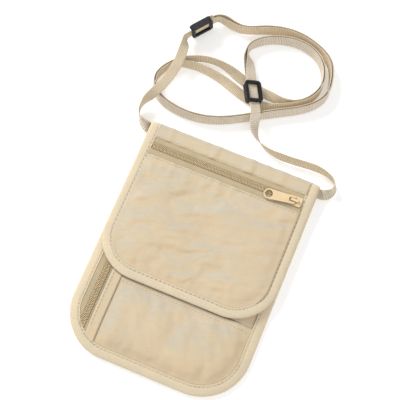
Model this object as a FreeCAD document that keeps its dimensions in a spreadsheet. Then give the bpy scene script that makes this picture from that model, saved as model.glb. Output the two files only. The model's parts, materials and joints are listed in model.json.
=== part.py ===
# Neck pouch wallet lying closed on its back, with its doubled neck strap laid out above the top edge.
# X runs across the pouch, Y up towards the fold, Z out of the front. Millimetres.
# The origin is the centre of the back panel's outer face.
import FreeCAD, Part
import math
import os
import Sketcher

doc = FreeCAD.newDocument("neck_pouch_wallet")
V = FreeCAD.Vector

# ---------------------------------------------------------------- driving dimensions
sheet = doc.addObject("Spreadsheet::Sheet", "Sizes")
next_row = [1]
# a cell of the sheet that formulas are worked out in
SCRATCH = "D1"


def size(alias, value):
    """Add one named number, or one formula on earlier names, to the sheet."""
    cell = "B%d" % next_row[0]
    sheet.set("A%d" % next_row[0], alias)
    sheet.set(cell, str(value))
    sheet.setAlias(cell, alias)
    next_row[0] += 1


# the pouch and its fabric
size("pouch_width", 150)
size("pouch_height", 196)
size("pouch_corner", 40)
size("fabric", 0.3)
size("ply_gap", 0.05)
size("reach", 300)
# the folded binding tape round every raw edge
size("tape_thickness", 0.35)
size("tape_cover", 8.5)
size("edge_room", 0.1)
# the compartments
size("zip_level", 3.1)
size("passport_gap", 4.45)
size("card_gap", 0.15)
# the flap
size("flap_width", 148.4)
size("flap_height", 130)
size("flap_corner", 35.5)
size("flap_clear", 0.3)
# zips
size("chain_half", 2.6)
size("chain_slit", 0.6)
size("coil_thick", 1.3)
size("zip_tape_reach", 11)
size("zip_tape_slit", 0.7)
size("slider_length", 12)
size("slider_width", 8.2)
size("slider_plate", 0.5)
size("slider_corner", 1.6)
size("slider_inside", 0.75)
size("bridge_rise", 1.45)
size("bridge_half", 3.2)
size("bridge_leg", 0.6)
size("bridge_bar", 0.45)
size("bridge_width", 2)
size("flange_width", 1)
size("post_length", 3)
size("post_inset", 0.5)
size("puller_length", 26)
size("puller_end", 8.9)
size("puller_root", 6.6)
size("puller_thick", 0.7)
size("puller_hole", 3.2)
size("puller_slot_end", 4.6)
size("puller_slot_half", 1.6)
size("puller_bar", 0.3)
size("puller_lift", 0.5)
size("puller_yaw", 7)
# where the zips are
size("flap_zip_drop", 20.5)
size("window_half", 7.5)
size("flap_slider_inset", 15.5)
size("side_zip_inset", 16.4)
size("side_slider_y", 83)
size("facing_left_inset", 21.2)
size("facing_right_inset", 30)
size("facing_lap", 5)
size("pocket_mouth_drop", 129)
size("pocket_hem", 6)
# strap and adjusters
size("strap_width", 8.5)
size("strap_thick", 0.9)
size("strap_seam_drop", 5.2)
size("strap_level", 1.95)
size("seam_room", 0.4)
size("strap_tab_length", 14)
size("adjuster_length", 20)
size("adjuster_width", 14.2)
size("adjuster_corner", 3)
size("adjuster_end_bar", 2.8)
size("adjuster_bar_thick", 1.5)
size("adjuster_pin", 0.8)
size("loop_room", 0.1)
size("running_room", 0.25)
size("loop_leg_left", 13)
size("loop_leg_right", 18)
size("window_room", 0.35)
size("pin_inset", 0.5)
size("slot_room", 0.2)

# sizes worked out from the ones above
size("half_width", "=pouch_width / 2")
size("top_y", "=pouch_height / 2")
size("bottom_y", "=-pouch_height / 2")
size("inset", "=tape_thickness + edge_room")
size("panel_half", "=half_width - inset")
size("panel_bottom", "=bottom_y + inset")
size("panel_corner", "=pouch_corner - inset")
size("panel_top", "=top_y - fabric - edge_room")
size("open_half", "=half_width - tape_cover")
size("open_bottom", "=bottom_y + tape_cover")
size("open_corner", "=pouch_corner - tape_cover")
size("open_top", "=top_y + 1")
size("wall_half", "=half_width - tape_thickness")
size("wall_bottom", "=bottom_y + tape_thickness")
size("wall_corner", "=pouch_corner - tape_thickness")
size("back_half", "=open_half - edge_room")
size("back_bottom", "=open_bottom + edge_room")
size("back_corner", "=open_corner - edge_room")
# levels through the pouch, from the back face up
size("back_top", "=tape_thickness + fabric")
size("side_tape_z", "=back_top + zip_level")
size("side_zip_z", "=side_tape_z + fabric / 2")
size("front_z", "=back_top + passport_gap")
size("card_z", "=front_z + fabric + card_gap")
size("card_top", "=card_z + fabric")
size("facing_z", "=card_top + ply_gap")
size("cover_z", "=facing_z + fabric + ply_gap")
size("pouch_top_z", "=cover_z + tape_thickness")
size("cavity", "=pouch_top_z - 2 * tape_thickness")
# levels through the flap
size("slider_half", "=slider_inside + slider_plate")
size("flap_z", "=side_zip_z + slider_half + bridge_rise + ply_gap")
size("lining_z", "=flap_z + tape_thickness")
size("flap_zip_z", "=lining_z + fabric + ply_gap + slider_half")
size("flap_tape_z", "=flap_zip_z - fabric / 2")
size("outer_z", "=flap_zip_z + fabric / 2 + ply_gap")
size("flap_cover_z", "=outer_z + fabric + ply_gap")
size("flap_top_z", "=flap_cover_z + tape_thickness")
size("flap_thick", "=flap_top_z - flap_z")
size("flap_cavity", "=flap_thick - 2 * tape_thickness")
size("flap_half", "=flap_width / 2")
size("flap_bottom", "=top_y - flap_height")
size("flap_panel_half", "=flap_half - inset")
size("flap_panel_bottom", "=flap_bottom + inset")
size("flap_panel_corner", "=flap_corner - inset")
size("flap_open_half", "=flap_half - tape_cover")
size("flap_open_bottom", "=flap_bottom + tape_cover")
size("flap_open_corner", "=flap_corner - tape_cover")
size("flap_wall_half", "=flap_half - tape_thickness")
size("flap_wall_bottom", "=flap_bottom + tape_thickness")
size("flap_wall_corner", "=flap_corner - tape_thickness")
# lines across the panels
size("flap_zip_y", "=top_y - flap_zip_drop")
size("window_top", "=flap_zip_y + window_half")
size("window_low", "=flap_zip_y - window_half")
size("side_zip_x", "=-half_width + side_zip_inset")
size("facing_left", "=-half_width + facing_left_inset")
size("facing_right", "=-half_width + facing_right_inset")
size("front_left", "=facing_right - facing_lap")
size("pocket_mouth", "=top_y - pocket_mouth_drop")
size("pocket_hem_low", "=pocket_mouth - pocket_hem")
size("hem_left", "=facing_right + edge_room")
size("side_tape_left_edge", "=side_zip_x - chain_half")
size("side_tape_right_edge", "=side_zip_x + chain_half")
size("side_tape_far", "=side_zip_x + zip_tape_reach")
size("flap_tape_low_edge", "=flap_zip_y - chain_half")
size("flap_tape_top_edge", "=flap_zip_y + chain_half")
size("flap_tape_top_far", "=flap_zip_y + zip_tape_reach")
size("flap_tape_low_far", "=flap_zip_y - zip_tape_reach")
# inside a slider
size("flange_drop", "=slider_inside - fabric / 2 - edge_room")
# the slot in the pouch binding that each end of the strap goes through
size("slot_low_y", "=top_y - strap_seam_drop - strap_width / 2 - slot_room")
size("slot_high_y", "=top_y - strap_seam_drop + strap_width / 2 + slot_room")
size("slot_low_z", "=strap_level - strap_thick / 2 - slot_room")
size("slot_high_z", "=strap_level + strap_thick / 2 + slot_room")
# levels through an adjuster, measured from the middle of the webbing that runs through it
size("bar_low", "=strap_thick / 2 + running_room")
size("rail_top", "=bar_low + adjuster_bar_thick")
size("loop_inner", "=adjuster_pin + loop_room")
size("loop_outer", "=loop_inner + strap_thick")
size("pin_z", "=-(bar_low + loop_outer)")
size("rail_low", "=pin_z - adjuster_pin")
size("window_v", "=strap_width / 2 + window_room")
size("window_u", "=adjuster_length / 2 - adjuster_end_bar")

doc.recompute()


def number(alias):
    """The present value of one named size."""
    return float(sheet.get(alias))


# ---------------------------------------------------------------- sketch and feature helpers
def new_body(label):
    body = doc.addObject("PartDesign::Body", label)
    body.Label = label
    return body


def plane_of(body, role):
    for feature in body.Origin.OriginFeatures:
        if feature.Role == role:
            return feature
    raise RuntimeError("no plane " + role)


def new_sketch(body, name, z_alias=None, role="XY_Plane"):
    """An empty sketch parallel to one of the body's own planes, lifted to a named level."""
    sketch = body.newObject("Sketcher::SketchObject", name)
    sketch.AttachmentSupport = [(plane_of(body, role), "")]
    sketch.MapMode = "FlatFace"
    if z_alias:
        sketch.setExpression("AttachmentOffset.Base.z", "Sizes." + z_alias)
    return sketch


def line(sketch, x0, y0, x1, y1):
    return sketch.addGeometry(Part.LineSegment(V(x0, y0, 0), V(x1, y1, 0)), False)


def arc(sketch, cx, cy, radius, start, end):
    circle = Part.Circle(V(cx, cy, 0), V(0, 0, 1), radius)
    return sketch.addGeometry(Part.ArcOfCircle(circle, math.radians(start), math.radians(end)), False)


def rule(sketch, *args):
    return sketch.addConstraint(Sketcher.Constraint(*args))


def bind(sketch, index, formula):
    sketch.setExpression("Constraints[%d]" % index, formula)


def rounded_outline(sketch, half, top, bottom, corner):
    """Straight top, straight sides, two round bottom corners; every size is a sheet name."""
    w, t, b, r = number(half), number(top), number(bottom), number(corner)
    line(sketch, -w, t, w, t)
    line(sketch, w, t, w, b + r)
    arc(sketch, w - r, b + r, r, 270, 360)
    line(sketch, w - r, b, -w + r, b)
    arc(sketch, -w + r, b + r, r, 180, 270)
    line(sketch, -w, b + r, -w, t)
    rule(sketch, "Coincident", 0, 2, 1, 1)
    rule(sketch, "Tangent", 1, 2, 2, 2)
    rule(sketch, "Tangent", 2, 1, 3, 1)
    rule(sketch, "Tangent", 3, 2, 4, 2)
    rule(sketch, "Tangent", 4, 1, 5, 1)
    rule(sketch, "Coincident", 5, 2, 0, 1)
    rule(sketch, "Horizontal", 0)
    rule(sketch, "Vertical", 1)
    rule(sketch, "Horizontal", 3)
    rule(sketch, "Vertical", 5)
    rule(sketch, "Equal", 2, 4)
    bind(sketch, rule(sketch, "Radius", 2, r), "Sizes." + corner)
    bind(sketch, rule(sketch, "DistanceX", -1, 1, 0, 2, w), "Sizes." + half)
    bind(sketch, rule(sketch, "DistanceX", 0, 1, 0, 2, 2 * w), "2 * Sizes." + half)
    bind(sketch, rule(sketch, "DistanceY", -1, 1, 0, 2, t), "Sizes." + top)
    bind(sketch, rule(sketch, "DistanceY", -1, 1, 3, 1, b), "Sizes." + bottom)


def rectangle(sketch, x0, x1, y0, y1):
    """A rectangle whose four sides are formulas on the sheet; each is (value, formula)."""
    first = len(sketch.Geometry)
    line(sketch, x0[0], y0[0], x1[0], y0[0])
    line(sketch, x1[0], y0[0], x1[0], y1[0])
    line(sketch, x1[0], y1[0], x0[0], y1[0])
    line(sketch, x0[0], y1[0], x0[0], y0[0])
    for step in range(4):
        rule(sketch, "Coincident", first + step, 2, first + (step + 1) % 4, 1)
    for step in (0, 2):
        rule(sketch, "Horizontal", first + step)
        rule(sketch, "Vertical", first + step + 1)
    bind(sketch, rule(sketch, "DistanceX", -1, 1, first, 1, x0[0]), x0[1])
    bind(sketch, rule(sketch, "DistanceX", -1, 1, first, 2, x1[0]), x1[1])
    bind(sketch, rule(sketch, "DistanceY", -1, 1, first, 1, y0[0]), y0[1])
    bind(sketch, rule(sketch, "DistanceY", -1, 1, first + 2, 1, y1[0]), y1[1])


def named(alias, sign=1):
    """A sheet name as the (value, formula) pair that rectangle wants."""
    return (sign * number(alias), ("" if sign > 0 else "-") + "Sizes." + alias)


def pad(body, sketch, length, midplane=False):
    feature = body.newObject("PartDesign::Pad", sketch.Name + "_pad")
    feature.Profile = sketch
    feature.setExpression("Length", length)
    feature.Midplane = midplane
    sketch.Visibility = False
    return feature


def pocket(body, sketch, length=None, up=False):
    """Cut a sketch away: through everything, or for a stated length from the sketch."""
    feature = body.newObject("PartDesign::Pocket", sketch.Name + "_cut")
    feature.Profile = sketch
    if length:
        feature.setExpression("Length", length)
        feature.Reversed = up
    else:
        feature.Type = 1
        feature.Midplane = True
    sketch.Visibility = False
    return feature


def trim(body, name, left=None, right=None, low=None, high=None):
    """Cut a panel back to the named limits."""
    far = named("reach")
    near = named("reach", -1)
    sides = []
    if left:
        sides.append(("left", (near, named(left), near, far)))
    if right:
        sides.append(("right", (named(right), far, near, far)))
    if low:
        sides.append(("low", (near, far, near, named(low))))
    if high:
        sides.append(("high", (near, far, named(high), far)))
    for side, limits in sides:
        sketch = new_sketch(body, name + "_" + side)
        rectangle(sketch, *limits)
        pocket(body, sketch)


def panel(label, outline, level, **limits):
    """One flat ply of fabric: a rounded outline trimmed to its limits at a named level."""
    body = new_body(label)
    sketch = new_sketch(body, label + "_outline", level)
    rounded_outline(sketch, *outline)
    pad(body, sketch, "Sizes.fabric")
    trim(body, label, **limits)
    return body


POUCH_PANEL = ("panel_half", "panel_top", "panel_bottom", "panel_corner")
FLAP_PANEL = ("flap_panel_half", "panel_top", "flap_panel_bottom", "flap_panel_corner")


# ---------------------------------------------------------------- pouch: panels
def back_panel():
    """Back ply: its middle lies flush with the binding, its margin is held inside it."""
    body = new_body("back_panel")
    margin = new_sketch(body, "back_margin", "tape_thickness")
    rounded_outline(margin, *POUCH_PANEL)
    pad(body, margin, "Sizes.fabric")
    middle = new_sketch(body, "back_middle")
    rounded_outline(middle, "back_half", "panel_top", "back_bottom", "back_corner")
    pad(body, middle, "Sizes.back_top")
    return body


def card_pocket_panel():
    """Open-topped pocket on the front, with a turned hem along its mouth."""
    body = panel("slip_pocket_panel", POUCH_PANEL, "card_z", left="front_left", high="pocket_mouth")
    hem = new_sketch(body, "pocket_hem_strip", "card_top")
    rectangle(hem, named("hem_left"), named("panel_half"), named("pocket_hem_low"),
              named("pocket_mouth"))
    pad(body, hem, "Sizes.fabric")
    return body


def top_fold():
    """Upright wall of fabric that turns the back panel up and over towards the flap."""
    wall = doc.addObject("Part::Box", "top_fold")
    wall.Label = "top_fold"
    wall.setExpression("Length", "2 * Sizes.wall_half")
    wall.setExpression("Width", "Sizes.fabric")
    wall.setExpression("Height", "Sizes.pouch_top_z - Sizes.tape_thickness")
    wall.setExpression("Placement.Base.x", "-Sizes.wall_half")
    wall.setExpression("Placement.Base.y", "Sizes.top_y - Sizes.fabric")
    wall.setExpression("Placement.Base.z", "Sizes.tape_thickness")
    return wall


# ---------------------------------------------------------------- folded binding tape
def channel(label, outer, wall, opening, level, thick, cavity_level, cavity):
    """Tape folded over three edges: a channel open inwards and at the top."""
    body = new_body(label)
    block = new_sketch(body, label + "_outer", level)
    rounded_outline(block, *outer)
    pad(body, block, thick)
    inside = new_sketch(body, label + "_inside", cavity_level)
    rounded_outline(inside, *wall)
    pocket(body, inside, cavity, up=True)
    middle = new_sketch(body, label + "_opening")
    rounded_outline(middle, *opening)
    pocket(body, middle)
    return body


def pouch_binding():
    body = channel(
        "pouch_binding",
        ("half_width", "panel_top", "bottom_y", "pouch_corner"),
        ("wall_half", "open_top", "wall_bottom", "wall_corner"),
        ("open_half", "open_top", "open_bottom", "open_corner"),
        None, "Sizes.pouch_top_z", "tape_thickness", "Sizes.cavity")
    slot = new_sketch(body, "strap_slots", None, "YZ_Plane")
    rectangle(slot, named("slot_low_y"), named("slot_high_y"), named("slot_low_z"), named("slot_high_z"))
    pocket(body, slot)
    return body


def flap_binding():
    return channel(
        "flap_binding",
        ("flap_half", "panel_top", "flap_bottom", "flap_corner"),
        ("flap_wall_half", "open_top", "flap_wall_bottom", "flap_wall_corner"),
        ("flap_open_half", "open_top", "flap_open_bottom", "flap_open_corner"),
        "flap_z", "Sizes.flap_thick", "lining_z", "Sizes.flap_cavity")


# ---------------------------------------------------------------- zip chains
def coil(label, x, y, z, length, across):
    """One row of zip coil, shown as a bar; across says whether it runs along X."""
    bar = doc.addObject("Part::Box", label)
    bar.Label = label
    width = "Sizes.chain_half - Sizes.chain_slit"
    bar.setExpression("Length", length if across else width)
    bar.setExpression("Width", width if across else length)
    bar.setExpression("Height", "Sizes.coil_thick")
    bar.setExpression("Placement.Base.x", x)
    bar.setExpression("Placement.Base.y", y)
    bar.setExpression("Placement.Base.z", z + " - Sizes.coil_thick / 2")
    return bar


def side_zip():
    """Two flat tapes between the bound edge and the front panel, each with its row of coil."""
    panel("side_zip_tape_outer", POUCH_PANEL, "side_tape_z", right="side_tape_left_edge")
    panel("side_zip_tape_inner", POUCH_PANEL, "side_tape_z", left="side_tape_right_edge",
          right="side_tape_far")
    run = "Sizes.panel_top - Sizes.open_bottom - Sizes.tape_cover - Sizes.ply_gap"
    start = "Sizes.open_bottom + Sizes.tape_cover"
    coil("side_zip_coil_outer", "Sizes.side_zip_x - Sizes.chain_half", start,
         "Sizes.side_zip_z", run, False)
    coil("side_zip_coil_inner", "Sizes.side_zip_x + Sizes.chain_slit", start,
         "Sizes.side_zip_z", run, False)


def flap_zip():
    """Two tapes across the window in the flap, each with its row of coil."""
    panel("flap_zip_tape_upper", FLAP_PANEL, "flap_tape_z", low="flap_tape_top_edge",
          high="flap_tape_top_far")
    panel("flap_zip_tape_lower", FLAP_PANEL, "flap_tape_z", low="flap_tape_low_far",
          high="flap_tape_low_edge")
    start = "-Sizes.flap_open_half + Sizes.edge_room"
    run = "2 * (Sizes.flap_open_half - Sizes.edge_room)"
    coil("flap_zip_coil_upper", start, "Sizes.flap_zip_y + Sizes.chain_slit",
         "Sizes.flap_zip_z", run, True)
    coil("flap_zip_coil_lower", start, "Sizes.flap_zip_y - Sizes.chain_half",
         "Sizes.flap_zip_z", run, True)


# ---------------------------------------------------------------- slider and puller
def place(body, x, y, z, turn):
    """Put a part built round its own origin where it belongs, turned about Z."""
    body.setExpression("Placement.Base.x", x)
    body.setExpression("Placement.Base.y", y)
    body.setExpression("Placement.Base.z", z)
    body.Placement.Rotation = FreeCAD.Rotation(V(0, 0, 1), 0)
    body.setExpression("Placement.Rotation.Angle", turn)


def evened(formula):
    """The (value, formula) pair of a length worked out from the sheet, for a part round its own origin."""
    sheet.set(SCRATCH, "=" + formula.replace("Sizes.", ""))
    sheet.recompute()
    return (float(sheet.get(SCRATCH)), formula)


def both_ways(formula):
    return evened("-(" + formula + ")"), evened(formula)


def slider(label, x, y, z, turn):
    """Zip slider: two plates joined by a post, side flanges and a bridge for the puller."""
    body = new_body(label)
    ends = both_ways("Sizes.slider_length / 2")
    sides = both_ways("Sizes.slider_width / 2")
    low = new_sketch(body, label + "_low_plate")
    low.setExpression("AttachmentOffset.Base.z", "-Sizes.slider_half")
    rectangle(low, ends[0], ends[1], sides[0], sides[1])
    pad(body, low, "Sizes.slider_plate")
    post = new_sketch(body, label + "_post")
    post.setExpression("AttachmentOffset.Base.z", "-Sizes.slider_inside")
    post_end = "Sizes.slider_length / 2 - Sizes.post_inset"
    post_sides = both_ways("Sizes.chain_slit - Sizes.edge_room")
    rectangle(post, evened(post_end + " - Sizes.post_length"), evened(post_end), *post_sides)
    pad(body, post, "2 * Sizes.slider_inside")
    top = new_sketch(body, label + "_top_plate", "slider_inside")
    rectangle(top, ends[0], ends[1], sides[0], sides[1])
    pad(body, top, "Sizes.slider_plate")
    flange_inner = both_ways("Sizes.slider_width / 2 - Sizes.flange_width")
    for side, across in (("near", (sides[0], flange_inner[0])), ("far", (flange_inner[1], sides[1]))):
        for end, level in (("low", "-Sizes.slider_inside"),
                           ("top", "Sizes.slider_inside - Sizes.flange_drop")):
            flange = new_sketch(body, "_".join((label, side, end, "flange")))
            flange.setExpression("AttachmentOffset.Base.z", level)
            rectangle(flange, ends[0], ends[1], *across)
            pad(body, flange, "Sizes.flange_drop")
    arch = new_sketch(body, label + "_bridge", None, "XZ_Plane")
    bridge_top = "Sizes.slider_half + Sizes.bridge_rise"
    rectangle(arch, *both_ways("Sizes.bridge_half"), evened("Sizes.slider_half - Sizes.edge_room"),
              evened(bridge_top))
    rectangle(arch, *both_ways("Sizes.bridge_half - Sizes.bridge_leg"), evened("Sizes.slider_half"),
              evened(bridge_top + " - Sizes.bridge_bar"))
    pad(body, arch, "Sizes.bridge_width", midplane=True)
    round_corners(body, label, ends[1][0], sides[1][0], "Sizes.slider_corner")
    place(body, x, y, z, turn)
    return body


def round_corners(body, label, half, wide, radius):
    """Round the upright edges at the four outer corners of a block."""
    doc.recompute()
    base = body.Tip
    corners = upright_edges(base.Shape, half, wide)
    rounding = body.newObject("PartDesign::Fillet", label + "_corners")
    rounding.Base = (base, corners)
    rounding.setExpression("Radius", radius)


def upright_edges(shape, half, wide):
    """Names of the vertical edges at the four corners of a block."""
    names = []
    for index, edge in enumerate(shape.Edges):
        ends = [vertex.Point for vertex in edge.Vertexes]
        if len(ends) != 2:
            continue
        at_corner = abs(abs(ends[0].x) - half) < 0.01 and abs(abs(ends[0].y) - wide) < 0.01
        same_spot = abs(ends[0].x - ends[1].x) < 0.01 and abs(ends[0].y - ends[1].y) < 0.01
        if at_corner and same_spot:
            names.append("Edge%d" % (index + 1))
    return names


def puller(label, x, y, z, turn):
    """Flat pull tab: a cross bar under the bridge, a slot, and a ring at its free end."""
    body = new_body(label)
    root = number("puller_root") / 2
    end = number("puller_end") / 2
    length = number("puller_length")
    centre = length - end
    bar = number("puller_bar")
    plan = new_sketch(body, label + "_plan")
    tilt = math.degrees(math.asin((end - root) / centre))
    touch_x = -centre + end * math.sin(math.radians(tilt))
    touch_y = end * math.cos(math.radians(tilt))
    line(plan, bar, -root, bar, root)
    line(plan, bar, root, touch_x, touch_y)
    arc(plan, -centre, 0, end, 90 - tilt, 270 + tilt)
    line(plan, touch_x, -touch_y, bar, -root)
    rule(plan, "Coincident", 0, 2, 1, 1)
    rule(plan, "Tangent", 1, 2, 2, 1)
    rule(plan, "Tangent", 2, 2, 3, 1)
    rule(plan, "Coincident", 3, 2, 0, 1)
    rule(plan, "Vertical", 0)
    rule(plan, "PointOnObject", 2, 3, -1)
    bind(plan, rule(plan, "Radius", 2, end), "Sizes.puller_end / 2")
    bind(plan, rule(plan, "DistanceX", -1, 1, 0, 1, bar), "Sizes.puller_bar")
    bind(plan, rule(plan, "DistanceY", 0, 1, 0, 2, 2 * root), "Sizes.puller_root")
    bind(plan, rule(plan, "DistanceY", -1, 1, 0, 2, root), "Sizes.puller_root / 2")
    centre_formula = "Sizes.puller_length - Sizes.puller_end / 2"
    bind(plan, rule(plan, "DistanceX", 2, 3, -1, 1, centre), centre_formula)
    pad(body, plan, "Sizes.puller_thick", midplane=True)
    slot = new_sketch(body, label + "_slot")
    rectangle(slot, named("puller_slot_end", -1), named("puller_bar", -1),
              *both_ways("Sizes.puller_slot_half"))
    pocket(body, slot)
    hole = new_sketch(body, label + "_ring_hole")
    hole.addGeometry(Part.Circle(V(-centre, 0, 0), V(0, 0, 1), number("puller_hole")), False)
    rule(hole, "PointOnObject", 0, 3, -1)
    bind(hole, rule(hole, "Radius", 0, number("puller_hole")), "Sizes.puller_hole")
    bind(hole, rule(hole, "DistanceX", 0, 3, -1, 1, centre), centre_formula)
    pocket(body, hole)
    place(body, x, y, z, turn)
    return body


# ---------------------------------------------------------------- strap
def unit(vector):
    return V(vector).normalize()


def ribbon(label, stations):
    """Webbing through stations of (point, width direction): four long edges and the faces between."""
    points = [V(*point) for point, _ in stations]
    curve = Part.BSplineCurve()
    curve.interpolate(points)
    marks = [curve.parameter(point) for point in points]
    half = number("strap_width") / 2
    thin = number("strap_thick") / 2
    corners = ((-half, -thin), (half, -thin), (half, thin), (-half, thin))
    rails = [[], [], [], []]
    stretch = 0
    for centre in curve.discretize(int(round(curve.length() / SECTION_STEP)) + 1):
        mark = curve.parameter(centre)
        while stretch < len(marks) - 2 and mark > marks[stretch + 1]:
            stretch += 1
        share = (mark - marks[stretch]) / (marks[stretch + 1] - marks[stretch])
        share = min(max(share, 0.0), 1.0)
        along = unit(curve.tangent(mark)[0])
        wide = V(*stations[stretch][1]) * (1 - share) + V(*stations[stretch + 1][1]) * share
        wide = unit(wide - along * wide.dot(along))
        face = along.cross(wide)
        for rail, (across, through) in zip(rails, corners):
            rail.append(centre + wide * across + face * through)
    steps = [float(index) for index in range(len(rails[0]))]
    edges = []
    for rail in rails:
        edge = Part.BSplineCurve()
        edge.interpolate(Points=rail, Parameters=steps)
        edges.append(edge)
    faces = []
    for side in range(4):
        first, second = edges[side], edges[(side + 1) % 4]
        strip = Part.BSplineSurface()
        strip.buildFromPolesMultsKnots(
            [first.getPoles(), second.getPoles()], [2, 2], first.getMultiplicities(),
            [0, 1], first.getKnots(), False, False, 1, first.Degree)
        faces.append(strip.toShape())
    for end in (0, -1):
        ring = [rail[end] for rail in rails]
        faces.append(Part.Face(Part.makePolygon(ring + ring[:1])))
    shell = Part.makeShell(faces)
    shell.sewShape()
    solid = Part.makeSolid(shell)
    if solid.Volume < 0:
        solid.reverse()
    part = doc.addObject("Part::Feature", label)
    part.Label = label
    part.Shape = solid
    return part


# distance between the sections a webbing is built from
SECTION_STEP = 5.0
# height of the webbing's middle where it stands on edge, leaning away from the pouch
STAND = 4.6
LEANING = (0, 0.4, 0.92)
UPRIGHT = (0, 0, 1)
# half the distance between two webbings that run side by side
PAIR_HALF = 0.8
# how far each side of an adjuster its webbing stays straight
STRAIGHT = 15
RUNS = (-STRAIGHT, -12, -6, 0, 6, 12, STRAIGHT)
# where the end of the other webbing lies, from 3 mm inside the legs of its sewn loop to just past them
LAP = (-3, -1, 1)
# how far a webbing lifts off the sewn loop below it where it leaves its adjuster
LOOP_CLEAR = 0.45


class Seat:
    """Where an adjuster sits: its middle, the way its webbing runs, its pitch and its roll."""

    def __init__(self, origin, heading, pitch, roll):
        self.origin = V(*origin)
        self.turn = FreeCAD.Rotation(V(0, 0, 1), heading)
        self.turn = self.turn.multiply(FreeCAD.Rotation(V(0, 1, 0), pitch))
        self.turn = self.turn.multiply(FreeCAD.Rotation(V(1, 0, 0), roll))

    def station(self, run, lift=0.0):
        """A point on the webbing, and the direction of its width, so far along the adjuster."""
        point = self.origin + self.turn.multVec(V(run, 0, lift))
        return (tuple(point), tuple(self.turn.multVec(V(0, 1, 0))))

    def hold(self, body):
        body.Placement = FreeCAD.Placement(self.origin, self.turn)


# the left adjuster stands on edge; the right one lies flat, tipped up towards the pouch
LEFT_SEAT = Seat((-69.0, 191.2, 7.6), 53, 0, 86)
RIGHT_SEAT = Seat((-6.4, 152.6, 9.2), 118, 9, 18)

# where the two webbings run side by side from the left adjuster, round the outside of the coil
OUTER_RUN = [
    (-38, 204.0, 5.4), (-22, 210, STAND), (-6, 215.5, STAND), (12, 216.5, STAND),
    (28, 212.5, STAND), (43, 203.5, STAND), (50, 188, STAND), (50.5, 173, STAND), (42, 160, STAND),
    (22, 146.5, STAND), (-2, 132, STAND), (-28, 118.5, STAND), (-50, 114.5, STAND), (-68, 116.5, STAND),
    (-81, 122.5, STAND), (-87.5, 134, STAND), (-83, 147.5, STAND),
]
# where they run side by side again, up and round the inner loop
INNER_RUN = [
    (29, 157.5, STAND), (39, 166, STAND), (44, 179, STAND), (41.5, 193, STAND), (32, 204.5, STAND),
    (15, 210.0, STAND), (-5, 207.0, STAND), (-19, 199, STAND), (-25.5, 188, STAND),
]


def beside(centre_line, shift):
    """Stations to one side of a centre line; a positive shift is to the traveller's right."""
    stations = []
    for index, point in enumerate(centre_line):
        before = centre_line[max(index - 1, 0)]
        after = centre_line[min(index + 1, len(centre_line) - 1)]
        heading = unit(V(after[0] - before[0], after[1] - before[1], 0))
        spot = (point[0] + heading.y * shift, point[1] - heading.x * shift, point[2])
        stations.append((spot, LEANING))
    return stations


def lap(seat, leg):
    """The end of a webbing between the legs of its sewn loop, starting at its cut end."""
    return [seat.station(number(leg) + run, number("pin_z")) for run in LAP]


def left_strap():
    """Webbing from the left seam, through the left adjuster, to the loop on the right adjuster."""
    seam_y = number("top_y") - number("strap_seam_drop")
    level = number("strap_level")
    start = -number("half_width") - number("seam_room")
    stations = [
        ((start, seam_y, level), (0, 1, 0)),
        ((start - 1.2, seam_y, level), (0, 1, 0)),
        ((-78.9, 93.2, 2.7), (0.05, 0.85, 0.5)),
        ((-81.4, 94.2, 3.9), (0.15, 0.45, 0.9)),
        ((-84.6, 96.4, 4.7), (0.2, 0.1, 1)),
        ((-87.3, 99.4, 4.9), UPRIGHT),
        ((-88.6, 103.6, 5.5), UPRIGHT),
        ((-87.9, 109, 7.0), (-0.1, 0.1, 0.9)),
        ((-85, 115.2, 9.4), (-0.6, 0.2, 0.6)),
        ((-81.5, 122, 11.0), (-0.9, 0.35, 0.2)),
        ((-77.8, 132, 11.6), (-1, 0.3, 0.1)),
        ((-75, 144, 11.6), (-1, 0.2, 0.1)),
        ((-74.2, 156, 11.8), (-1, 0.1, 0.1)),
        ((-75.0, 167, 11.4), (-0.9, 0, 0.3)),
        ((-77.0, 175, 9.4), (-0.5, 0, 0.9)),
    ]
    stations += [LEFT_SEAT.station(run) for run in RUNS]
    stations.append(((-51.6, 204.6, 5.4), (0, 0.3, 0.95)))
    stations += beside(OUTER_RUN, PAIR_HALF)
    stations += [
        ((-75.5, 154.4, 4.5), (0.2, 0.5, 0.8)),
        ((-66, 157.2, 4.3), (0.1, 0.5, 0.85)),
        ((-56, 157.9, 4.2), (0, 0.55, 0.8)),
        ((-45, 157.0, 4.0), (0, 0.6, 0.75)),
        ((-34, 154.9, 3.4), (0.1, 0.75, 0.65)),
        ((-24, 152.2, 2.1), (0.1, 0.95, 0.35)),
        ((-14, 149.4, 0.8), (0.1, 1, 0)),
        ((-4, 147.2, 0.8), (0.1, 1, 0)),
        ((6, 146.2, 2.2), (0, 0.9, 0.35)),
        ((15, 148.6, 3.9), (0.1, 0.6, 0.8)),
    ]
    stations += beside(INNER_RUN, PAIR_HALF)
    stations.append(((-24.2, 181.6, 4.5), (-0.5, -0.15, 0.85)))
    stations.append(((-20.2, 175.4, 4.1), (-0.75, -0.3, 0.55)))
    stations += lap(RIGHT_SEAT, "loop_leg_right")[::-1]
    return ribbon("strap_left", stations)


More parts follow.
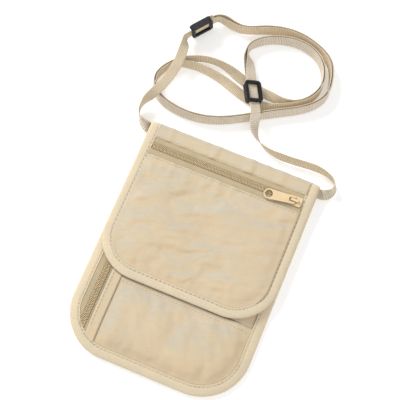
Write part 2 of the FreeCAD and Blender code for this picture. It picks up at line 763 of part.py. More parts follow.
def right_strap():
    """Webbing from the loop on the left adjuster, through the right adjuster, to the right seam."""
    seam_y = number("top_y") - number("strap_seam_drop")
    level = number("strap_level")
    start = number("half_width") + number("seam_room")
    stations = lap(LEFT_SEAT, "loop_leg_left")
    stations.append(((-53.4, 207.6, 5.8), (0, 0.3, 0.95)))
    stations += beside(OUTER_RUN, -PAIR_HALF)
    stations += [
        ((-75, 157.2, 4.6), (0.2, 0.5, 0.9)),
        ((-66, 163.0, 4.4), (0.1, 0.35, 0.95)),
        ((-56, 166.6, 4.4), (0.1, 0.3, 0.95)),
        ((-45, 167.8, 4.4), (0, 0.3, 0.95)),
        ((-33, 166.2, 3.8), (0.05, 0.55, 0.8)),
        ((-23.5, 163.6, 1.9), (0.15, 0.95, 0.3)),
        ((-14.5, 161.2, 0.9), (0.15, 1, 0)),
        ((-4, 158.8, 0.85), (0.1, 1, 0)),
        ((6.5, 157.2, 2.7), (0.1, 0.85, 0.5)),
        ((17, 156.0, 4.2), (0, 0.5, 0.85)),
    ]
    stations += beside(INNER_RUN, -PAIR_HALF)
    stations.append(((-21.0, 181.4, 5.4), (-0.5, -0.15, 0.85)))
    stations.append(((-17.7, 175.2, 6.2), (-0.75, -0.3, 0.5)))
    stations.append(RIGHT_SEAT.station(number("loop_leg_right") + 1, LOOP_CLEAR))
    stations += [RIGHT_SEAT.station(-run) for run in RUNS]
    stations += [
        ((3.0, 134.0, 11.2), (-0.94, -0.34, 0.1)),
        ((4.6, 127, 10.8), (-0.89, -0.28, 0.34)),
        ((7.8, 120.3, 8.4), (-0.61, -0.35, 0.71)),
        ((13.4, 115.2, 5.8), (-0.2, -0.27, 0.94)),
        ((22.5, 111.4, STAND), UPRIGHT),
        ((36, 109.8, STAND), LEANING),
        ((52, 110.6, STAND), LEANING),
        ((67, 111.4, STAND), LEANING),
        ((77.5, 109.6, STAND), (0, 0.1, 1)),
        ((83.8, 106.0, 4.6), (-0.1, 0, 1)),
        ((86.0, 101.4, 4.5), (-0.3, 0.05, 0.95)),
        ((84.6, 97.0, 3.7), (-0.5, 0.35, 0.75)),
        ((81.6, 94.2, 2.6), (-0.3, 0.85, 0.3)),
        ((start + 2.6, seam_y + 0.2, level + 0.05), (-0.05, 1, 0.05)),
        ((start + 1.2, seam_y, level), (0, 1, 0)),
        ((start, seam_y, level), (0, 1, 0)),
    ]
    return ribbon("strap_right", stations)


def strap_tab(label, x):
    """End of the webbing inside the seam."""
    tab = doc.addObject("Part::Box", label)
    tab.Label = label
    tab.setExpression("Length", "Sizes.strap_tab_length")
    tab.setExpression("Width", "Sizes.strap_width")
    tab.setExpression("Height", "Sizes.strap_thick")
    tab.setExpression("Placement.Base.x", x)
    tab.setExpression("Placement.Base.y", "Sizes.top_y - Sizes.strap_seam_drop - Sizes.strap_width / 2")
    tab.setExpression("Placement.Base.z", "Sizes.strap_level - Sizes.strap_thick / 2")
    return tab


# ---------------------------------------------------------------- adjusters
def adjuster(label):
    """Three-bar webbing adjuster round its own origin: webbing along X, bars along Y."""
    body = new_body(label)
    frame = new_sketch(body, label + "_frame")
    frame.setExpression("AttachmentOffset.Base.z", "Sizes.rail_low")
    ends = both_ways("Sizes.adjuster_length / 2")
    sides = both_ways("Sizes.adjuster_width / 2")
    rectangle(frame, *ends, *sides)
    pad(body, frame, "Sizes.rail_top - Sizes.rail_low")
    round_corners(body, label, ends[1][0], sides[1][0], "Sizes.adjuster_corner")
    window = new_sketch(body, label + "_window")
    rectangle(window, named("window_u", -1), named("window_u"), named("window_v", -1), named("window_v"))
    pocket(body, window)
    under = new_sketch(body, label + "_under", "bar_low")
    rectangle(under, named("reach", -1), named("reach"), named("window_v", -1), named("window_v"))
    pocket(body, under, "Sizes.reach")
    pin = new_sketch(body, label + "_pin", None, "XZ_Plane")
    pin.addGeometry(Part.Circle(V(0, number("pin_z"), 0), V(0, 0, 1), number("adjuster_pin")), False)
    rule(pin, "PointOnObject", 0, 3, -2)
    bind(pin, rule(pin, "Radius", 0, number("adjuster_pin")), "Sizes.adjuster_pin")
    bind(pin, rule(pin, "DistanceY", 0, 3, -1, 1, -number("pin_z")), "-Sizes.pin_z")
    pad(body, pin, "Sizes.adjuster_width - 2 * Sizes.pin_inset", midplane=True)
    return body


def sewn_loop(label, leg_name):
    """End of the other webbing, folded round the middle bar and sewn back on itself."""
    body = new_body(label)
    hairpin = new_sketch(body, label + "_fold", None, "XZ_Plane")
    leg = number(leg_name)
    inner = number("loop_inner")
    outer = number("loop_outer")
    middle = number("pin_z")
    line(hairpin, leg, middle + outer, 0, middle + outer)
    arc(hairpin, 0, middle, outer, 90, 270)
    line(hairpin, 0, middle - outer, leg, middle - outer)
    line(hairpin, leg, middle - outer, leg, middle - inner)
    line(hairpin, leg, middle - inner, 0, middle - inner)
    arc(hairpin, 0, middle, inner, 90, 270)
    line(hairpin, 0, middle + inner, leg, middle + inner)
    line(hairpin, leg, middle + inner, leg, middle + outer)
    rule(hairpin, "Tangent", 0, 2, 1, 1)
    rule(hairpin, "Tangent", 1, 2, 2, 1)
    rule(hairpin, "Coincident", 2, 2, 3, 1)
    rule(hairpin, "Coincident", 3, 2, 4, 1)
    rule(hairpin, "Tangent", 4, 2, 5, 2)
    rule(hairpin, "Tangent", 5, 1, 6, 1)
    rule(hairpin, "Coincident", 6, 2, 7, 1)
    rule(hairpin, "Coincident", 7, 2, 0, 1)
    rule(hairpin, "Horizontal", 0)
    rule(hairpin, "Vertical", 3)
    rule(hairpin, "Vertical", 7)
    rule(hairpin, "PointOnObject", 1, 3, -2)
    rule(hairpin, "Coincident", 1, 3, 5, 3)
    bind(hairpin, rule(hairpin, "Radius", 1, outer), "Sizes.loop_outer")
    bind(hairpin, rule(hairpin, "Radius", 5, inner), "Sizes.loop_inner")
    bind(hairpin, rule(hairpin, "DistanceY", 1, 3, -1, 1, -middle), "-Sizes.pin_z")
    bind(hairpin, rule(hairpin, "DistanceX", -1, 1, 3, 1, leg), "Sizes." + leg_name)
    bind(hairpin, rule(hairpin, "DistanceX", -1, 1, 7, 1, leg), "Sizes." + leg_name)
    pad(body, hairpin, "Sizes.strap_width", midplane=True)
    return body


# ---------------------------------------------------------------- build everything
back_panel()
pouch_binding()
top_fold()
panel("front_panel", POUCH_PANEL, "front_z", left="front_left")
card_pocket_panel()
panel("side_zip_facing", POUCH_PANEL, "facing_z", left="facing_left", right="facing_right")
side_zip()
panel("flap_lining", FLAP_PANEL, "lining_z")
panel("flap_top_strip", FLAP_PANEL, "outer_z", low="window_top")
panel("flap_front_panel", FLAP_PANEL, "outer_z", high="window_low")
flap_binding()
flap_zip()

flap_slider_x = "Sizes.half_width - Sizes.flap_slider_inset"
pull_lift = " + Sizes.slider_half + Sizes.puller_lift"
slider("flap_zip_slider", flap_slider_x, "Sizes.flap_zip_y", "Sizes.flap_zip_z", "0")
puller("flap_zip_puller", flap_slider_x, "Sizes.flap_zip_y", "Sizes.flap_zip_z" + pull_lift,
       "Sizes.puller_yaw")
slider("side_zip_slider", "Sizes.side_zip_x", "Sizes.side_slider_y", "Sizes.side_zip_z", "90")
puller("side_zip_puller", "Sizes.side_zip_x", "Sizes.side_slider_y", "Sizes.side_zip_z" + pull_lift, "90")

strap_tab("strap_tab_left", "-Sizes.half_width")
strap_tab("strap_tab_right", "Sizes.half_width - Sizes.strap_tab_length")
left_strap()
right_strap()
LEFT_SEAT.hold(adjuster("strap_adjuster_left"))
LEFT_SEAT.hold(sewn_loop("sewn_loop_left", "loop_leg_left"))
RIGHT_SEAT.hold(adjuster("strap_adjuster_right"))
RIGHT_SEAT.hold(sewn_loop("sewn_loop_right", "loop_leg_right"))

doc.recompute()

# ---------------------------------------------------------------- checks and files
os.makedirs("parts", exist_ok=True)
inside_bodies = set()
for item in doc.Objects:
    if item.TypeId == "PartDesign::Body":
        inside_bodies.update(member.Name for member in item.Group)
        inside_bodies.update(feature.Name for feature in item.Origin.OriginFeatures)
for item in doc.Objects:
    if "Invalid" in item.State or "Error" in item.State:
        raise RuntimeError("%s did not build: %s" % (item.Name, item.State))
    if item.Name in inside_bodies or not hasattr(item, "Shape"):
        continue
    if item.Shape.isNull() or not item.Shape.isValid():
        raise RuntimeError(item.Name + " has no valid shape")
    if len(item.Shape.Solids) != 1:
        raise RuntimeError("%s is %d solids" % (item.Name, len(item.Shape.Solids)))
    item.Shape.exportStep("parts/" + item.Label + ".step")
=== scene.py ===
import json
import math

import bpy
import numpy as np
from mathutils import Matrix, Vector, noise


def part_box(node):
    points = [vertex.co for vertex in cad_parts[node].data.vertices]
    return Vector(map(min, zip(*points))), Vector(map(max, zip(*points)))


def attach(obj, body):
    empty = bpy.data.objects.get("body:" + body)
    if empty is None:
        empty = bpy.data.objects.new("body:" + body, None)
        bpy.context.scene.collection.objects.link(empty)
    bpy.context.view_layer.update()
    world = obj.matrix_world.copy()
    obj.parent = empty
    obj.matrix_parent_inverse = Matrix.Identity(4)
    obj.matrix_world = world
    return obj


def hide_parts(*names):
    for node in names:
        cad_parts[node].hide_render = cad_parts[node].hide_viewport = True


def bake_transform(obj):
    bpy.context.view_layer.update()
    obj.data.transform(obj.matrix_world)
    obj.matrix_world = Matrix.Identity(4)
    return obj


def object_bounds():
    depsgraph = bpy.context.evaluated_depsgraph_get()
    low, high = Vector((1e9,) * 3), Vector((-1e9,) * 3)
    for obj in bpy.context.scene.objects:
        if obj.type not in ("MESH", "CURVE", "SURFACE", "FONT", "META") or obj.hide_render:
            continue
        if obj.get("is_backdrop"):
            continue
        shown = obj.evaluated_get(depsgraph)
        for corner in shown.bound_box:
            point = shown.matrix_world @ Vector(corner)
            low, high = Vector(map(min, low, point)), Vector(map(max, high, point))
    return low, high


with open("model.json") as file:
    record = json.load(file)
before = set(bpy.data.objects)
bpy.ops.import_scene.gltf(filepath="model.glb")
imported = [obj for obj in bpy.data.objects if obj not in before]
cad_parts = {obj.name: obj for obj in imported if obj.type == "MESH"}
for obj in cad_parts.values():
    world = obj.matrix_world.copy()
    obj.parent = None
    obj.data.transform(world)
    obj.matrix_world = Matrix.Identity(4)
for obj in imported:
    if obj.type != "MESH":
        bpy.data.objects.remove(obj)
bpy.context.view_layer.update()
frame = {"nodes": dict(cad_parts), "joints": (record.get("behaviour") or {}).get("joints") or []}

MM = 0.001
X, Y, Z = 0, 1, 2


# ---------------------------------------------------------------- reading the frame
def span(node):
    """Lowest and highest corner of a CAD node, in millimetres."""
    low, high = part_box(node)
    return np.array(low) / MM, np.array(high) / MM


def low_of(node, axis):
    return span(node)[0][axis]


def high_of(node, axis):
    return span(node)[1][axis]


def corners_of(node):
    """All the mesh points of a CAD node, in millimetres."""
    return np.array([v.co[:] for v in frame["nodes"][node].data.vertices]) / MM


def joint_axis(name):
    for joint in frame["joints"]:
        if joint["name"] == name:
            return np.array(joint["axis"], float)
    raise ValueError("no joint " + name)


def steps(start, end, step):
    """Even steps of about the given size from start up to, but not including, end."""
    return np.linspace(start, end, int(abs(end - start) / step), endpoint=False)


class Outline:
    """A straight top, straight sides and two round bottom corners."""

    def __init__(self, half, top, bottom, corner):
        self.half = half
        self.top = top
        self.bottom = bottom
        self.corner = corner

    def inset(self, by):
        return Outline(self.half - by, self.top, self.bottom + by, self.corner - by)

    def side(self, y):
        """Half the width at a height."""
        down = self.bottom + self.corner - y
        if down <= 0:
            return self.half
        down = min(down, self.corner)
        return self.half - self.corner + math.sqrt(self.corner ** 2 - down ** 2)

    def depth(self, x, y):
        """Distance in from the sides and the bottom."""
        across = np.abs(x) - (self.half - self.corner)
        down = self.bottom + self.corner - y
        round_depth = self.corner - np.hypot(np.maximum(across, 0), np.maximum(down, 0))
        straight = np.minimum(self.half - np.abs(x), y - self.bottom)
        return np.where((across > 0) & (down > 0), round_depth, straight)

    def along(self, x, y):
        """Distance along the edge to the nearest point on it, from the middle of the bottom."""
        flat = self.half - self.corner
        across = np.abs(x) - flat
        up = y - (self.bottom + self.corner)
        turn = np.arctan2(np.maximum(across, 0), np.maximum(-up, 1e-6))
        run = np.minimum(np.abs(x), flat) + turn * self.corner + np.maximum(up, 0)
        return run * np.sign(x)

    def path(self, top, step):
        """Edge points and inward directions, from the top left round the bottom to the top right."""
        flat = self.half - self.corner
        centre_y = self.bottom + self.corner
        left = [(-self.half, y, 1.0, 0.0) for y in steps(top, centre_y, step)]
        for turn in steps(0, math.pi / 2, step / self.corner):
            cos, sin = math.cos(turn), math.sin(turn)
            left.append((-flat - self.corner * cos, centre_y - self.corner * sin, cos, sin))
        left += [(x, self.bottom, 0.0, 1.0) for x in steps(-flat, 0, step)]
        right = np.array(left[::-1]) * np.array([-1, 1, -1, 1])
        return np.vstack([left, [(0.0, self.bottom, 0.0, 1.0)], right])


def outline_of(node, top):
    """The outline of a bound panel, measured from its binding."""
    points = corners_of(node)
    half = points[:, 0].max()
    bottom = points[:, 1].min()
    on_bottom = points[points[:, 1] < bottom + 0.01]
    return Outline(half, top, bottom, half - np.abs(on_bottom[:, 0]).max())


TOP = high_of("top_fold", Y)
POUCH = outline_of("pouch_binding", TOP)
FLAP = outline_of("flap_binding", TOP)
# binding: the width seen on each face, its thickness, and how far a panel reaches under it
COVER = 8.5
TAPE = 0.42
TUCK = 1.6
# the binding's stitches: how far in from the edge, and their pitch
STITCH_DEPTH = 6.9
STITCH_PITCH = 3.7
# thickness of one ply
FABRIC = 0.3
STRAP_WIDTH = high_of("strap_tab_left", Y) - low_of("strap_tab_left", Y)
STRAP_THICK = high_of("strap_tab_left", Z) - low_of("strap_tab_left", Z)
SIDE_ZIP_X = (low_of("side_zip_coil_outer", X) + high_of("side_zip_coil_inner", X)) / 2
SIDE_ZIP_Z = (low_of("side_zip_tape_outer", Z) + high_of("side_zip_tape_outer", Z)) / 2
FLAP_ZIP_Y = (low_of("flap_zip_coil_lower", Y) + high_of("flap_zip_coil_upper", Y)) / 2
FLAP_ZIP_Z = (low_of("flap_zip_tape_upper", Z) + high_of("flap_zip_tape_upper", Z)) / 2
CHAIN_HALF = high_of("side_zip_coil_inner", X) - SIDE_ZIP_X
COIL_THICK = high_of("flap_zip_coil_upper", Z) - low_of("flap_zip_coil_upper", Z)
# edges of the panels
WINDOW_LOW = high_of("flap_front_panel", Y)
WINDOW_TOP = low_of("flap_top_strip", Y)
FACING_LEFT = low_of("side_zip_facing", X)
FACING_RIGHT = high_of("side_zip_facing", X)
POCKET_MOUTH = high_of("slip_pocket_panel", Y)
FRONT_LEFT = low_of("front_panel", X)
# faces of the panels
FRONT_Z = high_of("front_panel", Z)
POCKET_Z = low_of("slip_pocket_panel", Z) + FABRIC
LINING_Z = low_of("flap_lining", Z)
FLAP_Z = high_of("flap_front_panel", Z)
FLAP_UNDER = low_of("flap_binding", Z)


# ---------------------------------------------------------------- meshes
def new_mesh(name, points, faces, material, body=None, uv=None, stands_for=None):
    """A mesh piece from points in millimetres; uv is one (u, v) pair in millimetres for each point.

    body is what it moves with, stands_for is the CAD node it shows.
    """
    mesh = bpy.data.meshes.new(name)
    mesh.from_pydata([tuple(p) for p in np.asarray(points) * MM], [], [tuple(f) for f in faces])
    if uv is not None:
        layer = mesh.uv_layers.new(name="UVMap")
        order = np.empty(len(mesh.loops), dtype=np.int32)
        mesh.loops.foreach_get("vertex_index", order)
        layer.data.foreach_set("uv", np.asarray(uv, dtype=np.float32)[order].ravel())
    mesh.shade_smooth()
    mesh.materials.append(material)
    piece = bpy.data.objects.new(name, mesh)
    bpy.context.scene.collection.objects.link(piece)
    if body:
        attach(piece, body)
    if stands_for:
        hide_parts(stands_for)
    return piece


def add_ply(piece, thick=FABRIC):
    """Give a sheet its thickness, on the side away from its face."""
    ply = piece.modifiers.new("ply", "SOLIDIFY")
    ply.thickness = thick * MM
    ply.offset = -1


def grid_faces(rows, columns, closed=False, flip=False):
    """Quads over a grid of points; closed joins the last column to the first."""
    faces = []
    for row in range(rows - 1):
        for column in range(columns if closed else columns - 1):
            after = (column + 1) % columns
            quad = (row * columns + column, row * columns + after,
                    (row + 1) * columns + after, (row + 1) * columns + column)
            faces.append(quad[::-1] if flip else quad)
    return faces


def tube(rings, flip=False):
    """Points and faces of a tube through rings of points, closed at both ends."""
    sides = len(rings[0])
    faces = grid_faces(len(rings), sides, closed=True)
    faces.append(tuple(range(sides))[::-1])
    faces.append(tuple(range((len(rings) - 1) * sides, len(rings) * sides)))
    if flip:
        faces = [face[::-1] for face in faces]
    return [point for ring in rings for point in ring], faces


def ring_round(middle, right, up, sides):
    """Points of an ellipse round a middle, from its two half widths as vectors."""
    turns = [2 * math.pi * index / sides for index in range(sides)]
    return [middle + right * math.cos(turn) + up * math.sin(turn) for turn in turns]


def smooth(t):
    t = np.clip(t, 0, 1)
    return t * t * (3 - 2 * t)


def rise(value, start, length):
    """0 up to start, easing to 1 over a length."""
    return smooth((value - start) / length)


def fall(value, end, length):
    """Easing from 1 to 0 over a length, and 0 from end on."""
    return smooth((end - value) / length)


def blend_value(a, b, t):
    return a + (b - a) * t


def field(x, y, size_x, size_y, seed, octaves=3):
    """Smooth noise between about -1 and 1, with features of the given size."""
    flat_x, flat_y = np.broadcast_arrays(x, y)
    values = [noise.fractal(Vector((a / size_x, b / size_y, seed)), 0.6, 2.1, octaves)
              for a, b in zip(flat_x.ravel(), flat_y.ravel())]
    return np.array(values).reshape(flat_x.shape)


# ---------------------------------------------------------------- levels of the soft surfaces
RIM_MID = {"pouch": 2.0, "flap": FLAP_UNDER + 1.1}
RIM_HALF = {"pouch": 1.35, "flap": 1.1}
# how much thicker the bound edge gets by the inner edge of its binding: outer face, inner face
RIM_GAIN = {"pouch": (0.62, 0.95), "flap": (0.3, 0.0)}
# the flap's sides hang down by this much, from this far across, and below this height
DROOP = 1.2
DROOP_ACROSS = 63
DROOP_TOP = 88
# how far in from an edge the cloth begins to be free of its seam
HELD = 8
# how far a panel between two seams puffs up
PUFF = 0.9


def flap_droop(x, y):
    """The flap's sides hang down past the front of the pouch."""
    return -DROOP * rise(np.abs(x), DROOP_ACROSS, 12) * fall(y, DROOP_TOP, 30)


def puckers(outline, x, y, seed):
    """Small gathers that run in from the stitched binding."""
    depth = outline.depth(x, y) - COVER
    gathers = field(outline.along(x, y), depth, 7.5, 40, seed, 2)
    return gathers * np.exp(-np.maximum(depth, 0) / 8) * rise(depth, -1.5, 4)


def turned(x, y, slant):
    """Coordinates along and across a slanted line."""
    cos, sin = math.cos(slant), math.sin(slant)
    return x * cos + y * sin, -x * sin + y * cos


def creases(x, y, seed, slant=0.6, long=46, short=11):
    """Long soft folds at a slant."""
    return field(*turned(x, y, slant), long, short, seed, 3)


def ridges(x, y, seed, slant):
    """Sharper creases of thin cloth, where a slow noise passes through zero."""
    slow = field(*turned(x, y, slant), 40, 16, seed, 2)
    return np.maximum(1 - np.abs(slow) / 0.16, 0) ** 1.5


def resting(swell):
    """Gathers that can rise but hardly sink, because the cloth lies on something."""
    return np.where(swell < 0, 0.05 * swell, swell)


def front_level(x, y):
    """Top of the front panel."""
    depth = POUCH.depth(x, y)
    level = blend_value(RIM_MID["pouch"] + 1.3, FRONT_Z, rise(depth, 7, 14))
    soft = rise(depth, HELD, 10) * fall(y, 95, 12)
    return level + 0.35 * soft * creases(x, y, 3.1) + 0.25 * puckers(POUCH, x, y, 7.7)


def pocket_level(x, y):
    """Top of the slip pocket on the front, puffed a little and lying closer at its mouth."""
    depth = POUCH.depth(x, y)
    level = blend_value(RIM_MID["pouch"] + 1.7, POCKET_Z, rise(depth, 7, 16))
    beside_facing = rise(x, FACING_RIGHT - 1, 14)
    puff = PUFF * rise(depth, 10, 25) * fall(y, POCKET_MOUTH, 22) * beside_facing
    soft = rise(depth, HELD, 10) * fall(y, POCKET_MOUTH + 1, 8) * (0.12 + 0.88 * beside_facing)
    wrinkles = (0.7 * creases(x, y, 12.4, -0.9) + 0.15 * creases(x, y, 5.2, 0.3, 24, 8)
                + 0.3 * ridges(x, y, 15.8, -1.0) + 0.3)
    return level + puff + soft * wrinkles + (0.1 + 0.5 * beside_facing) * puckers(POUCH, x, y, 2.2)


def facing_level(x, y):
    """Top of the strip that covers the inner edge of the side zip, lying on whatever is under it."""
    over_pocket = fall(y, POCKET_MOUTH + 8, 10)
    front = front_level(x, y)
    under = blend_value(front, np.maximum(pocket_level(x, y), front), over_pocket)
    return under + 0.4 + 0.25 * over_pocket


def flap_level(x, y):
    """Top of the flap's outer face away from the zip."""
    depth = FLAP.depth(x, y)
    edge = RIM_MID["flap"] + RIM_HALF["flap"] + RIM_GAIN["flap"][0] - TAPE
    level = blend_value(edge, FLAP_Z, rise(depth, 6.5, 12))
    from_zip = np.minimum(np.abs(y - WINDOW_LOW), 60)
    puff = PUFF * rise(depth, 9, 26) * rise(from_zip, 0, 25) * (y < WINDOW_LOW)
    soft = rise(depth, HELD, 9) * rise(from_zip, 1, 8)
    wrinkles = (0.8 * creases(x, y, 21.3, 0.25) + 0.15 * creases(x, y, 9.2, -0.5, 28, 9)
                + 0.35 * ridges(x, y, 25.1, 0.15))
    gathers = resting(0.8 * field(x, y, 6.5, 60, 8.8, 2)) * np.exp(-from_zip / 11)
    return (level + puff + soft * wrinkles + gathers + 0.6 * puckers(FLAP, x, y, 1.4)
            + flap_droop(x, y))


def lining_level(x, y):
    """Underside of the flap's lining."""
    depth = FLAP.depth(x, y)
    level = blend_value(FLAP_UNDER + TAPE, LINING_Z, rise(depth, 6.5, 12))
    wrinkles = 0.15 + 0.2 * creases(x, y, 31.0)
    return level + rise(depth, HELD, 9) * wrinkles + flap_droop(x, y)


def back_level(x, y):
    """Outer face of the back, which the pouch lies on."""
    depth = POUCH.depth(x, y)
    edge = RIM_MID["pouch"] - RIM_HALF["pouch"] - RIM_GAIN["pouch"][0] + TAPE
    level = blend_value(edge, FABRIC, rise(depth, 7, 10))
    soft = rise(depth, HELD, 9) * fall(y, 90, 10)
    wrinkles = 0.5 * (creases(x, y, 44.0, 0.9) + 0.5) + 0.3 * ridges(x, y, 47.0, 0.4)
    return level + soft * wrinkles + 0.3 * puckers(POUCH, x, y, 17.0)


# ---------------------------------------------------------------- materials
def colour(tone, share=1.0, lift=0.0):
    """An sRGB colour, 0 to 255, scaled and lifted, as the linear colour that nodes take."""
    linear = []
    for part in tone:
        part = min(part * share + lift, 255) / 255
        linear.append(part / 12.92 if part <= 0.04045 else ((part + 0.055) / 1.055) ** 2.4)
    return (*linear, 1.0)


class Look:
    """A material and its nodes. Wherever a node takes a value, it also takes another node's output."""

    def __init__(self, name, **inputs):
        self.material = bpy.data.materials.new(name)
        self.material.use_nodes = True
        self.tree = self.material.node_tree
        self.surface = self.tree.nodes["Principled BSDF"]
        for key, value in inputs.items():
            self.join(value, self.surface.inputs[key.replace("_", " ")])

    def join(self, value, socket):
        if isinstance(value, bpy.types.NodeSocket):
            self.tree.links.new(value, socket)
        else:
            socket.default_value = value

    def node(self, kind, inputs=None, **settings):
        """Add a node; inputs maps socket names or numbers to what goes into them."""
        made = self.tree.nodes.new(kind)
        for key, value in settings.items():
            setattr(made, key, value)
        for key, value in (inputs or {}).items():
            self.join(value, made.inputs[key])
        return made

    def place(self, kind):
        return self.node("ShaderNodeTexCoord").outputs[kind]

    def parts(self, vector):
        return self.node("ShaderNodeSeparateXYZ", {0: vector}).outputs

    def math(self, operation, first, second=0.0):
        return self.node("ShaderNodeMath", {0: first, 1: second}, operation=operation).outputs[0]

    def times(self, first, second):
        return self.math("MULTIPLY", first, second)

    def plus(self, first, second):
        return self.math("ADD", first, second)

    def minus(self, first, second):
        return self.math("SUBTRACT", first, second)

    def mix(self, first, second, amount, kind="MIX"):
        mixer = self.node("ShaderNodeMix", data_type="RGBA", blend_type=kind)
        for number, value in ((0, amount), (6, first), (7, second)):
            self.join(value, mixer.inputs[number])
        return mixer.outputs[2]

    def bands(self, coordinate, axis, period):
        """Soft stripes between 0 and 1, with a period in the coordinate's own unit."""
        inputs = {"Vector": coordinate, "Scale": 2 * math.pi / (20 * period)}
        return self.node("ShaderNodeTexWave", inputs, bands_direction=axis).outputs["Fac"]

    def spots(self, coordinate, size, detail=3.0, distortion=0.0):
        """Noise with features of about the given size in the coordinate's own unit."""
        inputs = {"Vector": coordinate, "Scale": 1 / size, "Detail": detail, "Distortion": distortion,
                  "Roughness": 0.55}
        return self.node("ShaderNodeTexNoise", inputs).outputs["Fac"]

    def between(self, value, low, high):
        """Stretch a value so that low becomes 0 and high becomes 1."""
        inputs = {"Value": value, "From Min": low, "From Max": high}
        return self.node("ShaderNodeMapRange", inputs).outputs["Result"]

    def bump(self, height, distance, strength, *below):
        inputs = {"Height": height, "Distance": distance, "Strength": strength}
        if below:
            inputs["Normal"] = below[0]
        return self.node("ShaderNodeBump", inputs).outputs["Normal"]

    def painted_crevice_shade(self, tone, reach, strength):
        """Painted shade: darken a colour where surfaces come close together, as shadow does in seams."""
        shade = self.node("ShaderNodeAmbientOcclusion", {"Distance": reach}, samples=8).outputs["AO"]
        depth = self.between(shade, 0.95, 0.35)
        # painted shade: the colour goes towards dark brown where little light would reach
        return self.mix(tone, (0.30, 0.24, 0.17, 1), self.times(depth, strength), "MULTIPLY")

    def finish(self, tone, normal, roughness=None):
        self.join(tone, self.surface.inputs["Base Color"])
        self.join(normal, self.surface.inputs["Normal"])
        if roughness is not None:
            self.join(roughness, self.surface.inputs["Roughness"])
        return self.material


def fabric_look(name, base, cool, warm, rough=0.62):
    """Thin plain-woven nylon: fine weave, crinkles, a painted sheen and shade that shift its tone with the
    way it faces, and painted shade in its seams and creases.
    """
    look = Look(name, Roughness=rough, Sheen_Weight=0.06, Sheen_Roughness=0.4, Specular_IOR_Level=0.3)
    place = look.place("Object")
    streaks = look.node("ShaderNodeMapping", {0: place, 2: (0, 0, 0.6), 3: (0.45, 1.0, 1.0)}).outputs[0]
    # painted sheen and shade: the tone cools where the surface faces the top left and warms where it faces
    # the bottom right, with random drift mixed in
    facing = {0: look.place("Normal"), 1: (-0.55, 0.83, 0)}
    tilt = look.node("ShaderNodeVectorMath", facing, operation="DOT_PRODUCT").outputs["Value"]
    drift = look.between(look.spots(streaks, 0.03, 2.0, 0.4), 0.35, 0.7)
    cool_sheen_and_drift = look.plus(look.between(tilt, 0.0, 0.14), look.times(drift, 0.5))
    tone = look.mix(colour(base), colour(cool), look.times(cool_sheen_and_drift, 0.5))
    drift = look.between(look.spots(streaks, 0.022, 2.0, 0.8), 0.5, 0.8)
    warm_sheen_and_drift = look.plus(look.between(tilt, 0.0, -0.14), drift)
    tone = look.mix(tone, colour(warm), look.times(warm_sheen_and_drift, 0.45))
    threads = look.plus(look.bands(place, "X", 0.0008), look.bands(place, "Y", 0.0008))
    tone = look.mix(tone, colour(base, 0.86), look.times(threads, 0.1))
    cells = look.node("ShaderNodeTexVoronoi", {"Vector": place, "Scale": 70.0, "Randomness": 1.0},
                      feature="SMOOTH_F1")
    crinkle = look.plus(look.spots(streaks, 0.007, 4.0, 1.0), look.times(cells.outputs["Distance"], 0.6))
    normal = look.bump(threads, 0.00005, 0.5, look.bump(crinkle, 0.0006, 0.7))
    roughness = look.between(look.spots(place, 0.012), 0.35 - rough, 1.35 - rough)
    # painted shade in seams and creases
    return look.finish(look.painted_crevice_shade(tone, 0.002, 0.5), normal, roughness)


def tape_look(name, base, cool, rib, herringbone=0.0, needle_line=0.0, rough=0.7, shaded=0.6):
    """Woven tape with ribs across its length; uv is along and across, in millimetres.

    A herringbone's ribs zigzag with that half width; needle_line is how far the stitch holes are
    from the middle of the tape.
    """
    look = Look(name, Roughness=rough, Sheen_Weight=0.08, Specular_IOR_Level=0.25)
    weave = look.place("UV")
    body = look.place("Object")
    across = look.parts(weave)["Y"]
    if herringbone:
        slanted = look.plus(look.parts(weave)["X"], look.math("PINGPONG", across, herringbone))
        weave = look.node("ShaderNodeCombineXYZ", {0: slanted, 1: across}).outputs[0]
    ribs = look.bands(weave, "X", rib)
    drift = look.between(look.spots(body, 0.02, 4.0, 0.6), 0.3, 0.72)
    tone = look.mix(colour(base), colour(cool), drift)
    # painted shade: darker in the low parts between the ribs
    tone = look.mix(tone, colour(base, 0.72), look.times(look.minus(1.0, ribs), 0.3))
    if needle_line:
        # painted shade along the stitch line, darkest at the stitch holes, where the tape dips
        off_line = look.math("ABSOLUTE", look.minus(look.math("ABSOLUTE", across), needle_line))
        holes = look.between(look.bands(weave, "X", STITCH_PITCH), 0.35, 0.95)
        stitch_shade = look.times(look.between(off_line, 0.75, 0.1), look.plus(look.times(holes, 0.75), 0.25))
        tone = look.mix(tone, colour(base, 0.66), stitch_shade)
    normal = look.bump(look.spots(body, 0.0025, 4.0), 0.0003, 0.5, look.bump(ribs, 0.00025, 0.6))
    roughness = look.between(look.spots(body, 0.005), 0.25 - rough, 1.25 - rough)
    # painted shade where surfaces come close, as strong as shaded
    return look.finish(look.painted_crevice_shade(tone, 0.002, shaded), normal, roughness)


